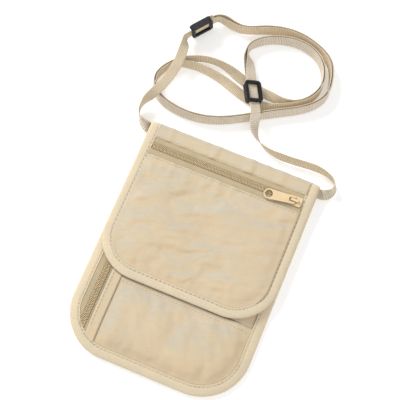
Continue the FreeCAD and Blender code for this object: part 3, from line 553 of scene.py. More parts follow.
def webbing_look(name, face, reverse, rib):
    """Flat narrow webbing: ribs across, cords along, and a warmer reverse face."""
    look = Look(name, Roughness=0.75, Sheen_Weight=0.1, Specular_IOR_Level=0.25)
    weave = look.place("UV")
    body = look.place("Object")
    ribs = look.bands(weave, "X", rib)
    cords = look.bands(weave, "Y", STRAP_WIDTH / 8)
    on_reverse = look.between(look.parts(weave)["Y"], STRAP_WIDTH - 0.4, STRAP_WIDTH + 0.4)
    tone = look.mix(colour(face), colour(reverse), on_reverse)
    drift = look.between(look.spots(body, 0.012, 4.0), 0.35, 0.7)
    tone = look.mix(tone, colour(reverse, 0.9), look.times(drift, 0.4))
    height = look.times(ribs, look.plus(look.times(cords, 0.45), 0.75))
    # painted shade: darker in the low parts of the weave, between ribs and cords
    tone = look.mix(tone, colour(face, 0.6), look.times(look.minus(1.0, height), 0.42))
    normal = look.bump(look.spots(body, 0.0012, 4.0), 0.0001, 0.4, look.bump(height, 0.0006, 0.8))
    # painted shade where surfaces come close
    return look.finish(look.painted_crevice_shade(tone, 0.003, 0.35), normal)


def hard_look(name, base, worn, rough, grain, metallic=0.0, coat=0.0):
    """Moulded plastic or painted metal: fine grain, and paler where edges have rubbed."""
    look = Look(name, Roughness=rough, Metallic=metallic, Coat_Weight=coat)
    place = look.place("Object")
    edges = look.node("ShaderNodeNewGeometry").outputs["Pointiness"]
    patches = look.between(look.spots(place, 0.0012, 5.0), 0.45, 0.7)
    wear = look.times(look.between(edges, 0.515, 0.6), patches)
    tone = look.mix(colour(base), colour(base, 1.15, 4), look.spots(place, 0.004))
    tone = look.mix(tone, colour(worn), wear)
    normal = look.bump(look.spots(place, grain, 4.0), 0.00006, 0.5)
    roughness = look.between(look.spots(place, 0.002, 4.0), 0.2 - rough, 1.2 - rough)
    # painted shade in hollows and where parts meet
    return look.finish(look.painted_crevice_shade(tone, 0.0016, 0.75), normal, roughness)


def thread_look(name, base):
    """Sewing thread: twisted plies and a soft sheen."""
    look = Look(name, Roughness=0.55, Sheen_Weight=0.2)
    place = look.place("Object")
    plies = look.bands(place, "DIAGONAL", 0.0005)
    tone = look.mix(colour(base), colour(base, 0.8), plies)
    tone = look.mix(tone, colour(base, 1.05), look.spots(place, 0.008))
    return look.finish(tone, look.bump(plies, 0.00008, 0.6))


FABRIC_LOOK = fabric_look("pouch_fabric_look", (223, 204, 171), (196, 191, 178), (232, 204, 165))
LINING_LOOK = fabric_look("lining_look", (222, 206, 175), (208, 200, 182), (229, 206, 172), 0.7)
BINDING_LOOK = tape_look("binding_look", (246, 226, 192), (236, 221, 192), 0.9,
                         needle_line=COVER - STITCH_DEPTH)
ZIP_TAPE_LOOK = tape_look("zip_tape_look", (216, 196, 158), (204, 187, 153), 0.9, herringbone=1.6,
                          shaded=0.3)
COIL_LOOK = hard_look("coil_look", (208, 186, 146), (226, 208, 172), 0.45, 0.0004)
METAL_LOOK = hard_look("zip_metal_look", (226, 196, 156), (246, 228, 200), 0.42, 0.0006, 0.15, 0.1)
PLASTIC_LOOK = hard_look("adjuster_plastic_look", (9, 9, 10), (40, 40, 42), 0.3, 0.0005)
WEBBING_LOOK = webbing_look("webbing_look", (253, 238, 216), (255, 234, 199), 1.4)
THREAD_LOOK = thread_look("thread_look", (240, 222, 190))
TACK_LOOK = thread_look("tack_look", (96, 58, 44))


# ---------------------------------------------------------------- sheets of fabric
SETTLE_FRAMES = 20
# depth of the hem at the slip pocket's mouth
HEM = 5


def settle(points, rows, columns, free, spare, reach, lift=0.0):
    """Wrinkle a sheet by a short cloth simulation with a share of spare cloth.

    free gives 0 where the cloth is sewn down and 1 well away from its seams. The rise and fall that
    is found is eased to within reach, in millimetres, and raised by lift.
    """
    freedom = free(points[:, 0], points[:, 1])
    mesh = bpy.data.meshes.new("settling")
    mesh.from_pydata([tuple(p) for p in points * MM], [], grid_faces(rows, columns))
    piece = bpy.data.objects.new("settling", mesh)
    bpy.context.scene.collection.objects.link(piece)
    held = np.flatnonzero(freedom < 0.02)
    piece.vertex_groups.new(name="sewn").add([int(spot) for spot in held], 1.0, "REPLACE")
    cloth = piece.modifiers.new("cloth", "CLOTH")
    cloth.point_cache.frame_start = 1
    cloth.point_cache.frame_end = SETTLE_FRAMES
    nylon = cloth.settings
    nylon.quality = 6
    nylon.mass = 0.1
    nylon.bending_stiffness = 3.0
    nylon.air_damping = 2
    nylon.vertex_group_mass = "sewn"
    nylon.shrink_min = -spare
    nylon.effector_weights.gravity = 0
    for step in range(1, SETTLE_FRAMES + 1):
        bpy.context.scene.frame_set(step)
    settled = piece.evaluated_get(bpy.context.evaluated_depsgraph_get()).to_mesh()
    moved = np.empty(rows * columns * 3)
    settled.vertices.foreach_get("co", moved)
    rise = moved.reshape(-1, 3)[:, 2] / MM - points[:, 2]
    bpy.data.objects.remove(piece)
    bpy.data.meshes.remove(mesh)
    bpy.context.scene.frame_set(1)
    eased = (reach * np.tanh(rise / reach) + lift) * freedom
    return points + np.array((0, 0, 1.0)) * eased[:, None]


def sheet(name, material, body, left, right, low, high, level, step=2.2, thick=FABRIC, up=True,
          stands_for=None, wrinkle=None):
    """A ply of fabric between two edges: left and right give x for a height, level gives z.

    wrinkle is (free, share of spare cloth, reach, lift) for a panel whose wrinkles are simulated.
    """
    rows = max(int((high - low) / step), 2) + 1
    heights = np.linspace(low, high, rows)
    widest = max(right(y) - left(y) for y in heights)
    columns = max(int(widest / step), 2) + 1
    shares = np.linspace(0, 1, columns)
    x = np.array([left(y) + (right(y) - left(y)) * shares for y in heights])
    y = np.repeat(heights[:, None], columns, axis=1)
    points = np.stack([x, y, level(x, y)], axis=-1).reshape(-1, 3)
    if wrinkle:
        points = settle(points, rows, columns, *wrinkle)
    piece = new_mesh(name, points, grid_faces(rows, columns, flip=not up), material, body,
                     points[:, :2], stands_for)
    add_ply(piece, thick)
    return piece


def rolled(level, edge, depth, inward, lift=0.5, reach=1.6):
    """A level with a folded edge: the ply swells and turns down just at the edge."""
    def shaped(x, y):
        inside = inward * (depth(x, y) - edge)
        swell = np.exp(-((inside - reach * 0.55) / reach) ** 2)
        drop = np.clip(1 - inside / 0.5, 0, 1) ** 2
        return level(x, y) + lift * swell - 0.45 * drop
    return shaped


def mouth_level():
    """The slip pocket with its hem at the mouth."""
    return rolled(pocket_level, POCKET_MOUTH, lambda x, y: y, -1, 0.35, 2.5)


def facing_edge_level():
    return rolled(facing_level, FACING_LEFT, lambda x, y: x, 1, 0.3, 1.4)


def window_low_level():
    """The flap's outer face with the folded edge below its zip."""
    return rolled(flap_level, WINDOW_LOW, lambda x, y: y, -1, 0.3, 1.5)


def pocket_free(x, y):
    """Where the pocket's cloth is free of the binding, the facing and its hem."""
    return (rise(POUCH.depth(x, y), COVER, 7) * rise(x, FACING_RIGHT + 0.5, 9)
            * fall(y, POCKET_MOUTH - HEM, 7))


def flap_free(x, y):
    """Where the flap's cloth is free of the binding and the seam at its zip."""
    return rise(FLAP.depth(x, y), COVER, 7) * fall(y, WINDOW_LOW - 2.5, 7)


def pouch_panels():
    inner = POUCH.inset(COVER - TUCK)

    def right_of(start):
        """The left edge of a panel that starts at x = start where the pouch is wide enough."""
        return lambda y: max(start, -inner.side(y))

    sheet("front_cover", FABRIC_LOOK, "pouch", right_of(FRONT_LEFT), inner.side, inner.bottom + 30,
          TOP - 2.2, front_level, stands_for="front_panel")
    sheet("slip_pocket", FABRIC_LOOK, "pouch", right_of(FRONT_LEFT), inner.side, inner.bottom,
          POCKET_MOUTH, mouth_level(), 1.6, stands_for="slip_pocket_panel",
          wrinkle=(pocket_free, 0.014, 0.8, 0.5))
    sheet("zip_facing", FABRIC_LOOK, "pouch", right_of(FACING_LEFT), lambda y: FACING_RIGHT,
          inner.bottom + 1.8, TOP - 2.2, facing_edge_level(), 1.1, stands_for="side_zip_facing")


def flap_panels():
    inner = FLAP.inset(COVER - TUCK)
    sheet("flap_front", FABRIC_LOOK, "flap", lambda y: -inner.side(y), inner.side, inner.bottom,
          WINDOW_LOW, window_low_level(), 1.6, stands_for="flap_front_panel",
          wrinkle=(flap_free, 0.012, 0.8, 0.1))
    sheet("flap_inside", LINING_LOOK, "flap", lambda y: -inner.side(y), inner.side, inner.bottom,
          TOP - 2.6, lining_level, up=False, stands_for="flap_lining")


# ---------------------------------------------------------------- the fold over the top
FOLD_START = 90.0
FOLD_TURNS = 18
FOLD_BULGE = 0.4
FAR_FROM_WINDOW = 99.0


def fold_frame(share, low, high, bulge):
    """Point and outward direction round the fold: share 0 is the back, 1 is the front."""
    radius = (high - low) / 2
    turn = math.pi * share
    centre_y = TOP + bulge - radius
    return (centre_y + radius * math.sin(turn), (low + high) / 2 - radius * math.cos(turn),
            math.sin(turn), -math.cos(turn))


def strip_swell(x, run, from_window):
    """Upright gathers of the cloth over the fold and down to the folded edge at the zip.

    run is the way round from the back, from_window the distance up from the zip's window.
    """
    gathers = 1.1 * field(x, run, 6.5, 34, 6.1, 2) + 0.25 * field(x, run, 14, 9, 6.6, 2)
    gathers = resting(gathers)
    half = FLAP.half - COVER + TUCK
    gathers = gathers * fall(np.abs(x), half, 6) * rise(run, 0, 8) * rise(from_window, -3, 6)
    folded_edge = 0.25 * math.exp(-((from_window - 0.8) / 1.3) ** 2) - 0.4 * max(1 - from_window / 0.5, 0)
    return gathers + folded_edge


def shell_rows(step=2.0):
    """Rows of the fabric that runs up the back, over the fold and down to the zip window."""
    pouch_in, flap_in = POUCH.inset(COVER - TUCK), FLAP.inset(COVER - TUCK)
    columns = int(2 * pouch_in.half / step) + 1
    shares = np.linspace(-1, 1, columns)
    back, fold, front = [], [], []
    count = int((FOLD_START - pouch_in.bottom) / step)
    for index in range(count + 1):
        y = np.full(columns, pouch_in.bottom + (FOLD_START - pouch_in.bottom) * index / count)
        x = shares * pouch_in.side(y[0])
        back.append(np.stack([x, y, back_level(x, y)], -1))
    low, high = back[-1][columns // 2][Z], FLAP_Z
    start_y = fold_frame(0, low, high, FOLD_BULGE)[0]
    run = 0.0
    before = (FOLD_START, low)
    # (y, z, outward y, outward z, share of the way round) from the back over the fold to the window
    turns = [(y, low, 0.0, -1.0, 0.0) for y in np.linspace(FOLD_START, start_y, 3)[:-1]]
    turns += [(*fold_frame(index / FOLD_TURNS, low, high, FOLD_BULGE), index / FOLD_TURNS)
              for index in range(FOLD_TURNS + 1)]
    turns += [(y, high, 0.0, 1.0, 1.0) for y in np.linspace(start_y, FOLD_START, 3)[1:]]
    turns += [(y, high, 0.0, 1.0, 1.0) for y in np.linspace(FOLD_START, WINDOW_TOP, 9)[1:]]
    for y, z, out_y, out_z, share in turns:
        run += math.dist(before, (y, z))
        before = (y, z)
        x = shares * blend_value(pouch_in.half, flap_in.half, share)
        from_window = y - WINDOW_TOP if share == 1.0 else FAR_FROM_WINDOW
        swell = strip_swell(x, np.full(columns, run), from_window) * (1 - 0.6 * out_y)
        # the back lies on something, so hardly any of its swelling is left
        swell *= 1 + 0.9 * min(out_z, 0)
        row = np.stack([x, y + swell * out_y, z + swell * out_z], -1)
        (fold if y >= FOLD_START or share < 1.0 else front).append(row)
    front.insert(0, fold[-1])
    return back, fold, front, columns


def shell():
    back, fold, front, columns = shell_rows()
    parts = (("back_cover", back, "pouch", "back_panel"), ("fold_cover", fold, None, "top_fold"),
             ("flap_top", front, "flap", "flap_top_strip"))
    for name, rows, body, stands_for in parts:
        points = np.concatenate(rows)
        piece = new_mesh(name, points, grid_faces(len(rows), columns, flip=True), FABRIC_LOOK, body,
                         points[:, :2], stands_for)
        last = (len(rows) - 1) * columns
        for edge in piece.data.edges:
            ends = edge.vertices
            edge.use_edge_sharp = max(ends) < columns or min(ends) >= last
        add_ply(piece)
        if body is None:
            bend_over_fold(piece)


def bend_over_fold(piece):
    """The fold turns between the pouch and the flap, from the pouch's front up to the flap's lining; a
    piece there only gets its transform baked into its mesh.
    """
    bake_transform(piece)


# ---------------------------------------------------------------- binding
PATH_STEP = 0.9
# distance in from the edge, and share of the full thickness there
PROFILE = ((COVER, 1.0), (8.2, 1.0), (7.5, 1.0), (STITCH_DEPTH, 0.98), (6.2, 1.0), (5.0, 1.0), (3.6, 0.99),
           (2.4, 0.95), (1.4, 0.84), (0.7, 0.66), (0.25, 0.4), (0.0, 0.0))


def fold_sections(side):
    """The edge's sections at one end of the fold, from the back round to the front."""
    sections = []
    for share in np.linspace(0, 1, FOLD_TURNS + 1):
        y, z, out_y, out_z = fold_frame(share, RIM_MID["pouch"], RIM_MID["flap"], 0.2 - RIM_HALF["pouch"])
        half = blend_value(POUCH.half, FLAP.half, share)
        sections.append(((side * half, y, z), (-side, 0, 0), (0, out_y, out_z), share))
    return sections


def binding_sections():
    """Sections round the whole edge: (edge point, inward, outward face, kind) with kind 0 pouch, 1 flap."""
    pouch = [((x, y, RIM_MID["pouch"]), (in_x, in_y, 0), (0, 0, -1), 0.0)
             for x, y, in_x, in_y in POUCH.path(FOLD_START, PATH_STEP)[::-1]]
    flap = []
    for x, y, in_x, in_y in FLAP.path(FOLD_START, PATH_STEP):
        droop = float(flap_droop(np.array(x), np.array(y)))
        flap.append(((x, y, RIM_MID["flap"] + droop), (in_x, in_y, 0), (0, 0, 1), 1.0))
    return pouch + fold_sections(-1) + flap + fold_sections(1)[::-1] + pouch[:1]


def heights_at(depth, kind, run):
    """Height of the tape's outer and inner faces above the middle of the edge, at a depth."""
    shape = np.interp(depth, [d for d, _ in PROFILE[::-1]], [s for _, s in PROFILE[::-1]])
    half = blend_value(RIM_HALF["pouch"], RIM_HALF["flap"], kind)
    gathers = 0.5 + 0.5 * math.cos(2 * math.pi * run / STITCH_PITCH)
    dip = 0.3 * math.exp(-((depth - STITCH_DEPTH) / 0.55) ** 2) * (0.55 + 0.45 * gathers)
    swell = 0.12 * gathers * math.exp(-((depth - 4.2) / 1.8) ** 2)
    faces = []
    for side in (0, 1):
        gain = blend_value(RIM_GAIN["pouch"][side], RIM_GAIN["flap"][side], kind)
        height = half * shape + gain * smooth(depth / COVER) - dip + swell
        faces.append(max(float(height), 0.0) if depth > 0.1 else 0.0)
    return faces


def vectors(section):
    return [np.array(part, float) for part in section]


def tape_ring(section, run, wander):
    """One closed section of the folded tape."""
    spot, inward, outward, kind = vectors(section)
    ring, uv = [], []
    outside = [(depth, 0) for depth, _ in PROFILE] + [(depth, 1) for depth, _ in PROFILE[-2::-1]]
    for thickness, rows in ((0.0, outside), (TAPE, outside[::-1])):
        for depth, side in rows:
            shown = depth + wander * smooth(depth / COVER)
            height = heights_at(depth, kind, run)[side]
            pulled_in = max(thickness, 0) if depth < TAPE else 0
            height = max(height - thickness, 0.02 if thickness else 0)
            sign = 1 if side == 0 else -1
            ring.append(spot + inward * (shown + pulled_in) + outward * sign * height)
            uv.append((run, sign * (COVER - depth) + (20 if thickness else 0)))
    return ring, uv


# stretches of the binding in order; those at the fold move with neither body
EDGE_STRETCHES = (("pouch_edge", "pouch"), ("left_fold", None), ("flap_edge", "flap"), ("right_fold", None))


def binding():
    sections = binding_sections()
    rings, uvs = [], []
    runs = runs_along(np.array([section[0] for section in sections]))
    for section, run in zip(sections, runs):
        wander = 0.35 * noise.noise(Vector((run / 23, 0.4, 2.0)))
        ring, uv = tape_ring(section, run, wander)
        rings.append(ring)
        uvs.append(uv)
    pouch_count = len(POUCH.path(FOLD_START, PATH_STEP))
    flap_count = len(FLAP.path(FOLD_START, PATH_STEP))
    cuts = [0, pouch_count - 1, pouch_count + FOLD_TURNS + 1,
            pouch_count + FOLD_TURNS + flap_count, len(sections) - 1]
    for (name, body), first, last in zip(EDGE_STRETCHES, cuts, cuts[1:]):
        some = rings[first:last + 1]
        points = np.array(some).reshape(-1, 3)
        uv = np.array(uvs[first:last + 1]).reshape(-1, 2)
        faces = grid_faces(len(some), len(some[0]), closed=True)
        piece = new_mesh(name + "_tape", points, faces, BINDING_LOOK, body, uv,
                         body and body + "_binding")
        if body is None:
            bend_over_fold(piece)
    binding_stitches(sections, cuts)


# ---------------------------------------------------------------- stitches
THREAD_SIDES = 6
EDGE_STITCH = 2.7


def capsule(start, end, radius, up):
    """A short rounded thread lying between two points, slightly arched."""
    start, end, up = np.array(start), np.array(end), np.array(up)
    along = end - start
    length = np.linalg.norm(along)
    along = along / length
    up = up - along * up.dot(along)
    up = up / np.linalg.norm(up)
    across = np.cross(along, up)
    rings = []
    for share, size in ((0.0, 0.35), (0.12, 0.85), (0.5, 1.0), (0.88, 0.85), (1.0, 0.35)):
        middle = start + along * length * share + up * radius * (0.5 * math.sin(math.pi * share) - 0.35)
        rings.append(ring_round(middle, across * radius * size, up * radius * size, THREAD_SIDES))
    return tube(rings)


def join_shapes(name, shapes, material, body, stands_for=None):
    """Many small shapes as one piece."""
    points, faces = [], []
    for some_points, some_faces in shapes:
        first = len(points)
        points.extend(some_points)
        faces.extend(tuple(first + index for index in face) for face in some_faces)
    return new_mesh(name, points, faces, material, body, stands_for=stands_for)


def runs_along(path):
    """Distance walked at each point of a path."""
    return np.concatenate([[0], np.cumsum(np.linalg.norm(np.diff(path, axis=0), axis=1))])


def points_at(marks, runs, path):
    """Points of a path at given distances along it."""
    return np.stack([np.interp(marks, runs, path[:, axis]) for axis in (X, Y, Z)], -1)


def seam(track, length, gap, radius=0.28):
    """Stitches along a track of (point, up); its points lie much closer than one stitch."""
    path = np.array([spot for spot, _ in track])
    ups = [up for _, up in track]
    runs = runs_along(path)
    shapes = []
    place = gap
    while place + length < runs[-1]:
        start, end = points_at((place, place + length), runs, path)
        up = ups[int(np.searchsorted(runs, place + length / 2))]
        shapes.append(capsule(start, end, radius, up))
        place += length + gap
    return shapes


def binding_stitches(sections, cuts):
    for (name, body), first, last in zip(EDGE_STRETCHES, cuts, cuts[1:]):
        shapes = []
        for side, sign in ((0, 1), (1, -1)):
            track = []
            for spot, inward, outward, kind in map(vectors, sections[first:last + 1]):
                height = heights_at(STITCH_DEPTH, kind, STITCH_PITCH / 2)[side] + 0.05
                track.append((spot + inward * STITCH_DEPTH + outward * sign * height, outward * sign))
            shapes += seam(track, EDGE_STITCH, STITCH_PITCH - EDGE_STITCH)
        piece = join_shapes(name + "_stitches", shapes, THREAD_LOOK, body)
        if body is None:
            bend_over_fold(piece)


def straight_seam(name, body, start, end, level):
    """Stitches in a straight line over a soft surface."""
    count = int(math.dist(start, end) / 0.6)
    x = np.linspace(start[0], end[0], count)
    y = np.linspace(start[1], end[1], count)
    z = level(x, y) + 0.12
    track = [(spot, (0, 0, 1)) for spot in np.stack([x, y, z], -1)]
    return join_shapes(name, seam(track, 2.3, 1.0, 0.27), THREAD_LOOK, body)


def topstitching():
    inset = 1.7
    x = FACING_LEFT + inset
    straight_seam("facing_stitches", "pouch", (x, POUCH.inset(COVER).bottom + 12), (x, TOP - 3),
                  facing_edge_level())
    half = FLAP.half - COVER
    y = WINDOW_LOW - inset
    straight_seam("window_low_stitches", "flap", (-half, y), (half, y), window_low_level())
    back_z = float(back_level(np.array(0.0), np.array(FOLD_START)))
    radius = (FLAP_Z - back_z) / 2
    straight = TOP + FOLD_BULGE - radius
    run_to_seam = straight - FOLD_START + math.pi * radius + straight - WINDOW_TOP - inset

    def top_level(x, y):
        return FLAP_Z + strip_swell(x, np.full(len(x), run_to_seam), inset)

    y = WINDOW_TOP + inset
    straight_seam("window_top_stitches", "flap", (-half, y), (half, y), top_level)
    y = POCKET_MOUTH - HEM + 0.4
    straight_seam("pocket_hem_stitches", "pouch", (FACING_RIGHT, y), (POUCH.half - COVER, y), mouth_level())


# ---------------------------------------------------------------- zips
TOOTH_PITCH = 1.25
ZIP_TAPE = 0.25
# half the gap between the two tapes of a zip
TAPE_GAP = 0.05


def tooth(centre, across, along, up, reach, lean):
    """One turn of zip coil: a fat thread arched over the middle of the chain."""
    rings = []
    for share, size, rise in ((-1.0, 0.55, -0.25), (-0.75, 0.95, 0.1), (0.0, 1.0, 0.25),
                              (0.75, 1.0, 0.15), (1.0, 0.6, -0.1)):
        middle = centre + across * reach * share + along * lean * share + up * rise * 0.6
        rings.append(ring_round(middle, along * 0.46 * size, up * 0.5 * size, THREAD_SIDES))
    return tube(rings)


def coil_row(name, body, stands_for, start, along, across, length):
    """A row of coil turns on one side of the chain, with the two threads that hold them down."""
    along, across, up = np.array(along, float), np.array(across, float), np.array((0, 0, 1.0))
    reach = CHAIN_HALF / 2 + 0.15
    shapes = []
    for index in range(int(length / TOOTH_PITCH)):
        centre = start + along * (index + 0.5) * TOOTH_PITCH + across * (reach - 0.35)
        shapes.append(tooth(centre, across, along, up, reach, 0.22))
    for offset in (0.62, 0.86):
        track = [(start + along * run + across * CHAIN_HALF * offset + up * (COIL_THICK / 2 - 0.2), up)
                 for run in np.arange(0, length, 0.6)]
        shapes += seam(track, 1.9, 0.25, 0.17)
    join_shapes(name, shapes, COIL_LOOK, body, stands_for)


def zip_tape_level(offset, centre):
    """A zip tape lies flat and dips under its coil."""
    return centre + FABRIC / 2 - 0.68 * smooth((CHAIN_HALF + 0.45 - np.abs(offset)) / 0.7)


def flap_tape_level(x, y):
    return zip_tape_level(y - FLAP_ZIP_Y, FLAP_ZIP_Z) + 0.5 * flap_droop(x, y) * (np.abs(x) > 64)


def side_tape_level(x, y):
    return zip_tape_level(x - SIDE_ZIP_X, SIDE_ZIP_Z)


def zip_tapes():
    half = FLAP.half - COVER + TUCK
    reach = high_of("flap_zip_tape_upper", Y) - FLAP_ZIP_Y
    for name, low, high, stands_for in (
            ("flap_tape_low", FLAP_ZIP_Y - reach, FLAP_ZIP_Y - TAPE_GAP, "flap_zip_tape_lower"),
            ("flap_tape_high", FLAP_ZIP_Y + TAPE_GAP, FLAP_ZIP_Y + reach, "flap_zip_tape_upper")):
        sheet(name, ZIP_TAPE_LOOK, "flap", lambda y: -half, lambda y: half, low, high, flap_tape_level,
              0.7, ZIP_TAPE, stands_for=stands_for)
    inner = POUCH.inset(COVER - TUCK)
    right = high_of("side_zip_tape_inner", X)
    for name, left, far, stands_for in (
            ("side_tape_left", lambda y: -inner.side(y), lambda y: SIDE_ZIP_X - TAPE_GAP,
             "side_zip_tape_outer"),
            ("side_tape_right", lambda y: SIDE_ZIP_X + TAPE_GAP, lambda y: right, "side_zip_tape_inner")):
        piece = sheet(name, ZIP_TAPE_LOOK, "pouch", left, far, inner.bottom + 8, TOP - 3, side_tape_level,
                      0.7, ZIP_TAPE, stands_for=stands_for)
        for corner in piece.data.uv_layers[0].data:
            corner.uv = (corner.uv[1], corner.uv[0])


def zip_chains():
    """Both zips' coil rows; the two rows of a zip are half a tooth apart."""
    low, high = span("flap_zip_coil_upper")
    for name, stands_for, side in (("flap_coil_high", "flap_zip_coil_upper", 1),
                                   ("flap_coil_low", "flap_zip_coil_lower", -1)):
        start = np.array([low[X] + (0 if side > 0 else TOOTH_PITCH / 2), FLAP_ZIP_Y, FLAP_ZIP_Z])
        coil_row(name, "flap", stands_for, start, (1, 0, 0), (0, side, 0), high[X] - low[X] - TOOTH_PITCH)
    low, high = span("side_zip_coil_outer")
    for name, stands_for, side in (("side_coil_left", "side_zip_coil_outer", -1),
                                   ("side_coil_right", "side_zip_coil_inner", 1)):
        start = np.array([SIDE_ZIP_X, low[Y] + (0 if side > 0 else TOOTH_PITCH / 2), SIDE_ZIP_Z])
        coil_row(name, "pouch", stands_for, start, (0, 1, 0), (side, 0, 0), high[Y] - low[Y] - 3)


# ---------------------------------------------------------------- hard parts
def dress(node_name, material, edge):
    """Keep a hard CAD part: join its faces, round its edges and give it a finish."""
    part = frame["nodes"][node_name]
    weld = part.modifiers.new("weld", "WELD")
    weld.merge_threshold = 0.00001
    rounding = part.modifiers.new("rounded", "BEVEL")
    rounding.width = edge * MM
    rounding.segments = 3
    rounding.limit_method = "ANGLE"
    rounding.angle_limit = math.radians(40)
    rounding.harden_normals = True
    part.material_slots[0].material = material


def hardware():
    for zip_name in ("flap_zip", "side_zip"):
        dress(zip_name + "_slider", METAL_LOOK, 0.22)
        dress(zip_name + "_puller", METAL_LOOK, 0.25)
    for side in ("left", "right"):
        dress("strap_adjuster_" + side, PLASTIC_LOOK, 0.45)


# ---------------------------------------------------------------- webbing
# across the width: share of the half width, and share of the half thickness there
WEB_SECTION = ((-1.0, 0.0), (-0.985, 0.55), (-0.92, 0.95), (-0.72, 1.0), (-0.25, 0.93), (0.25, 0.93),
               (0.72, 1.0), (0.92, 0.95), (0.985, 0.55), (1.0, 0.0))


def web(name, stations, body, stands_for=None, run=0.0):
    """Webbing along stations of (centre, width direction, face direction)."""
    back = [(across, -thick) for across, thick in WEB_SECTION[-2:0:-1]]
    half = STRAP_WIDTH / 2
    around = ([half * (1 + across) for across, _ in WEB_SECTION]
              + [half * (3 - across) for across, _ in back])
    runs = run + runs_along(np.array([centre for centre, _, _ in stations]))
    rings, uv = [], []
    for (centre, wide, face), place in zip(stations, runs):
        rings.append([centre + wide * across * half + face * thick * STRAP_THICK / 2
                      for across, thick in [*WEB_SECTION, *back]])
        uv += [(place, v) for v in around]
    points, faces = tube(rings, flip=True)
    return new_mesh(name, points, faces, WEBBING_LOOK, body, uv, stands_for)


def rails_of(node_name):
    """The four long edges of a webbing's CAD mesh, all walked from the end nearer its seam."""
    mesh = frame["nodes"][node_name].data
    unique, index = np.unique(np.round(corners_of(node_name), 4), axis=0, return_inverse=True)
    index = index.ravel()
    seen = {}
    for face in mesh.polygons:
        ring = list(face.vertices)
        for a, b in zip(ring, ring[1:] + ring[:1]):
            key = (min(a, b), max(a, b))
            seen[key] = seen.get(key, 0) + 1
    near = {}
    for (a, b), count in seen.items():
        # an edge that only one triangle has is on the border of a CAD face
        if count == 1 and index[a] != index[b]:
            near.setdefault(index[a], set()).add(index[b])
            near.setdefault(index[b], set()).add(index[a])
    ends = [spot for spot, others in near.items() if len(others) == 3]
    first = min(ends, key=lambda spot: abs(abs(unique[spot][0]) - POUCH.half) + abs(unique[spot][1] - TOP))
    ring = [spot for spot in ends if np.linalg.norm(unique[spot] - unique[first]) < STRAP_WIDTH * 1.2]
    rails = []
    for corner in ring:
        walked = [corner]
        after = [spot for spot in near[corner] if spot not in ring][0]
        while after not in ends:
            walked.append(after)
            after = [spot for spot in near[after] if spot != walked[-2]][0]
        walked.append(after)
        rails.append(unique[walked])
    return rails


def partner(rail, other):
    """For each point of a rail, the nearest point on another one, never going back along it."""
    found = []
    first = 0
    for spot in rail:
        best = None
        for index in range(first, min(first + 12, len(other) - 1)):
            a, b = other[index], other[index + 1]
            share = np.clip((spot - a).dot(b - a) / max((b - a).dot(b - a), 1e-9), 0, 1)
            point = a + (b - a) * share
            gap = np.linalg.norm(point - spot)
            if best is None or gap < best[0]:
                best = (gap, point, index)
        found.append(best[1])
        first = best[2]
    return np.array(found)


def evenly(rail, step):
    runs = runs_along(rail)
    return points_at(np.linspace(0, runs[-1], int(runs[-1] / step) + 1), runs, rail)


def steady(values, reach=2):
    """Each row averaged with its neighbours up to reach away."""
    padded = np.pad(values, ((reach, reach), (0, 0)), mode="edge")
    kernel = np.ones(2 * reach + 1) / (2 * reach + 1)
    return np.stack([np.convolve(padded[:, axis], kernel, "valid") for axis in (X, Y, Z)], -1)


def unit(rows):
    return rows / np.linalg.norm(rows, axis=1)[:, None]


def stations_of(node_name, step=1.0):
    """Centre, width direction and face direction at even steps along a CAD webbing."""
    rails = rails_of(node_name)
    fine = evenly(evenly(rails[0], step), step)
    gaps = np.array([np.linalg.norm(rail[0] - rails[0][0]) for rail in rails])
    wide_rail = rails[int(np.argmin(np.abs(gaps - STRAP_WIDTH)))]
    thin_rail = rails[int(np.argmin(np.abs(gaps - STRAP_THICK)))]
    wide = partner(fine, evenly(wide_rail, step / 2)) - fine
    thin = partner(fine, evenly(thin_rail, step / 2)) - fine
    centres = steady(fine + wide / 2 + thin / 2)
    along = unit(np.gradient(centres, axis=0))
    wide = steady(wide)
    wide = unit(wide - along * np.sum(wide * along, axis=1)[:, None])
    return list(zip(centres, wide, np.cross(along, wide)))


# how many steps of webbing lie in the pieces between the pouch and the strap, and between the strap and an
# adjuster
SEAM_RUN = 9
LAP_RUN = 16


def straps():
    """Each strap starts inside a side seam and ends on the other strap's adjuster."""
    for name, side, adjuster_body in (("left", -1, "right_adjuster"), ("right", 1, "left_adjuster")):
        stations = stations_of("strap_" + name)
        edge, wide, face = stations[0]
        tab = "strap_tab_" + name
        tab_z = (low_of(tab, Z) + high_of(tab, Z)) / 2
        inside = [(np.array([x, edge[Y], tab_z]), wide, face)
                  for x in np.linspace(side * (POUCH.half - 12), edge[X], 12)[:-1]]
        start = web("strap_seam_" + name, inside + stations[:SEAM_RUN + 1], None, tab)
        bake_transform(start)
        web("strap_run_" + name, stations[SEAM_RUN:-LAP_RUN], "strap", "strap_" + name, SEAM_RUN)
        last = web("strap_lap_" + name, stations[-LAP_RUN - 1:], None)
        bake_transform(last)


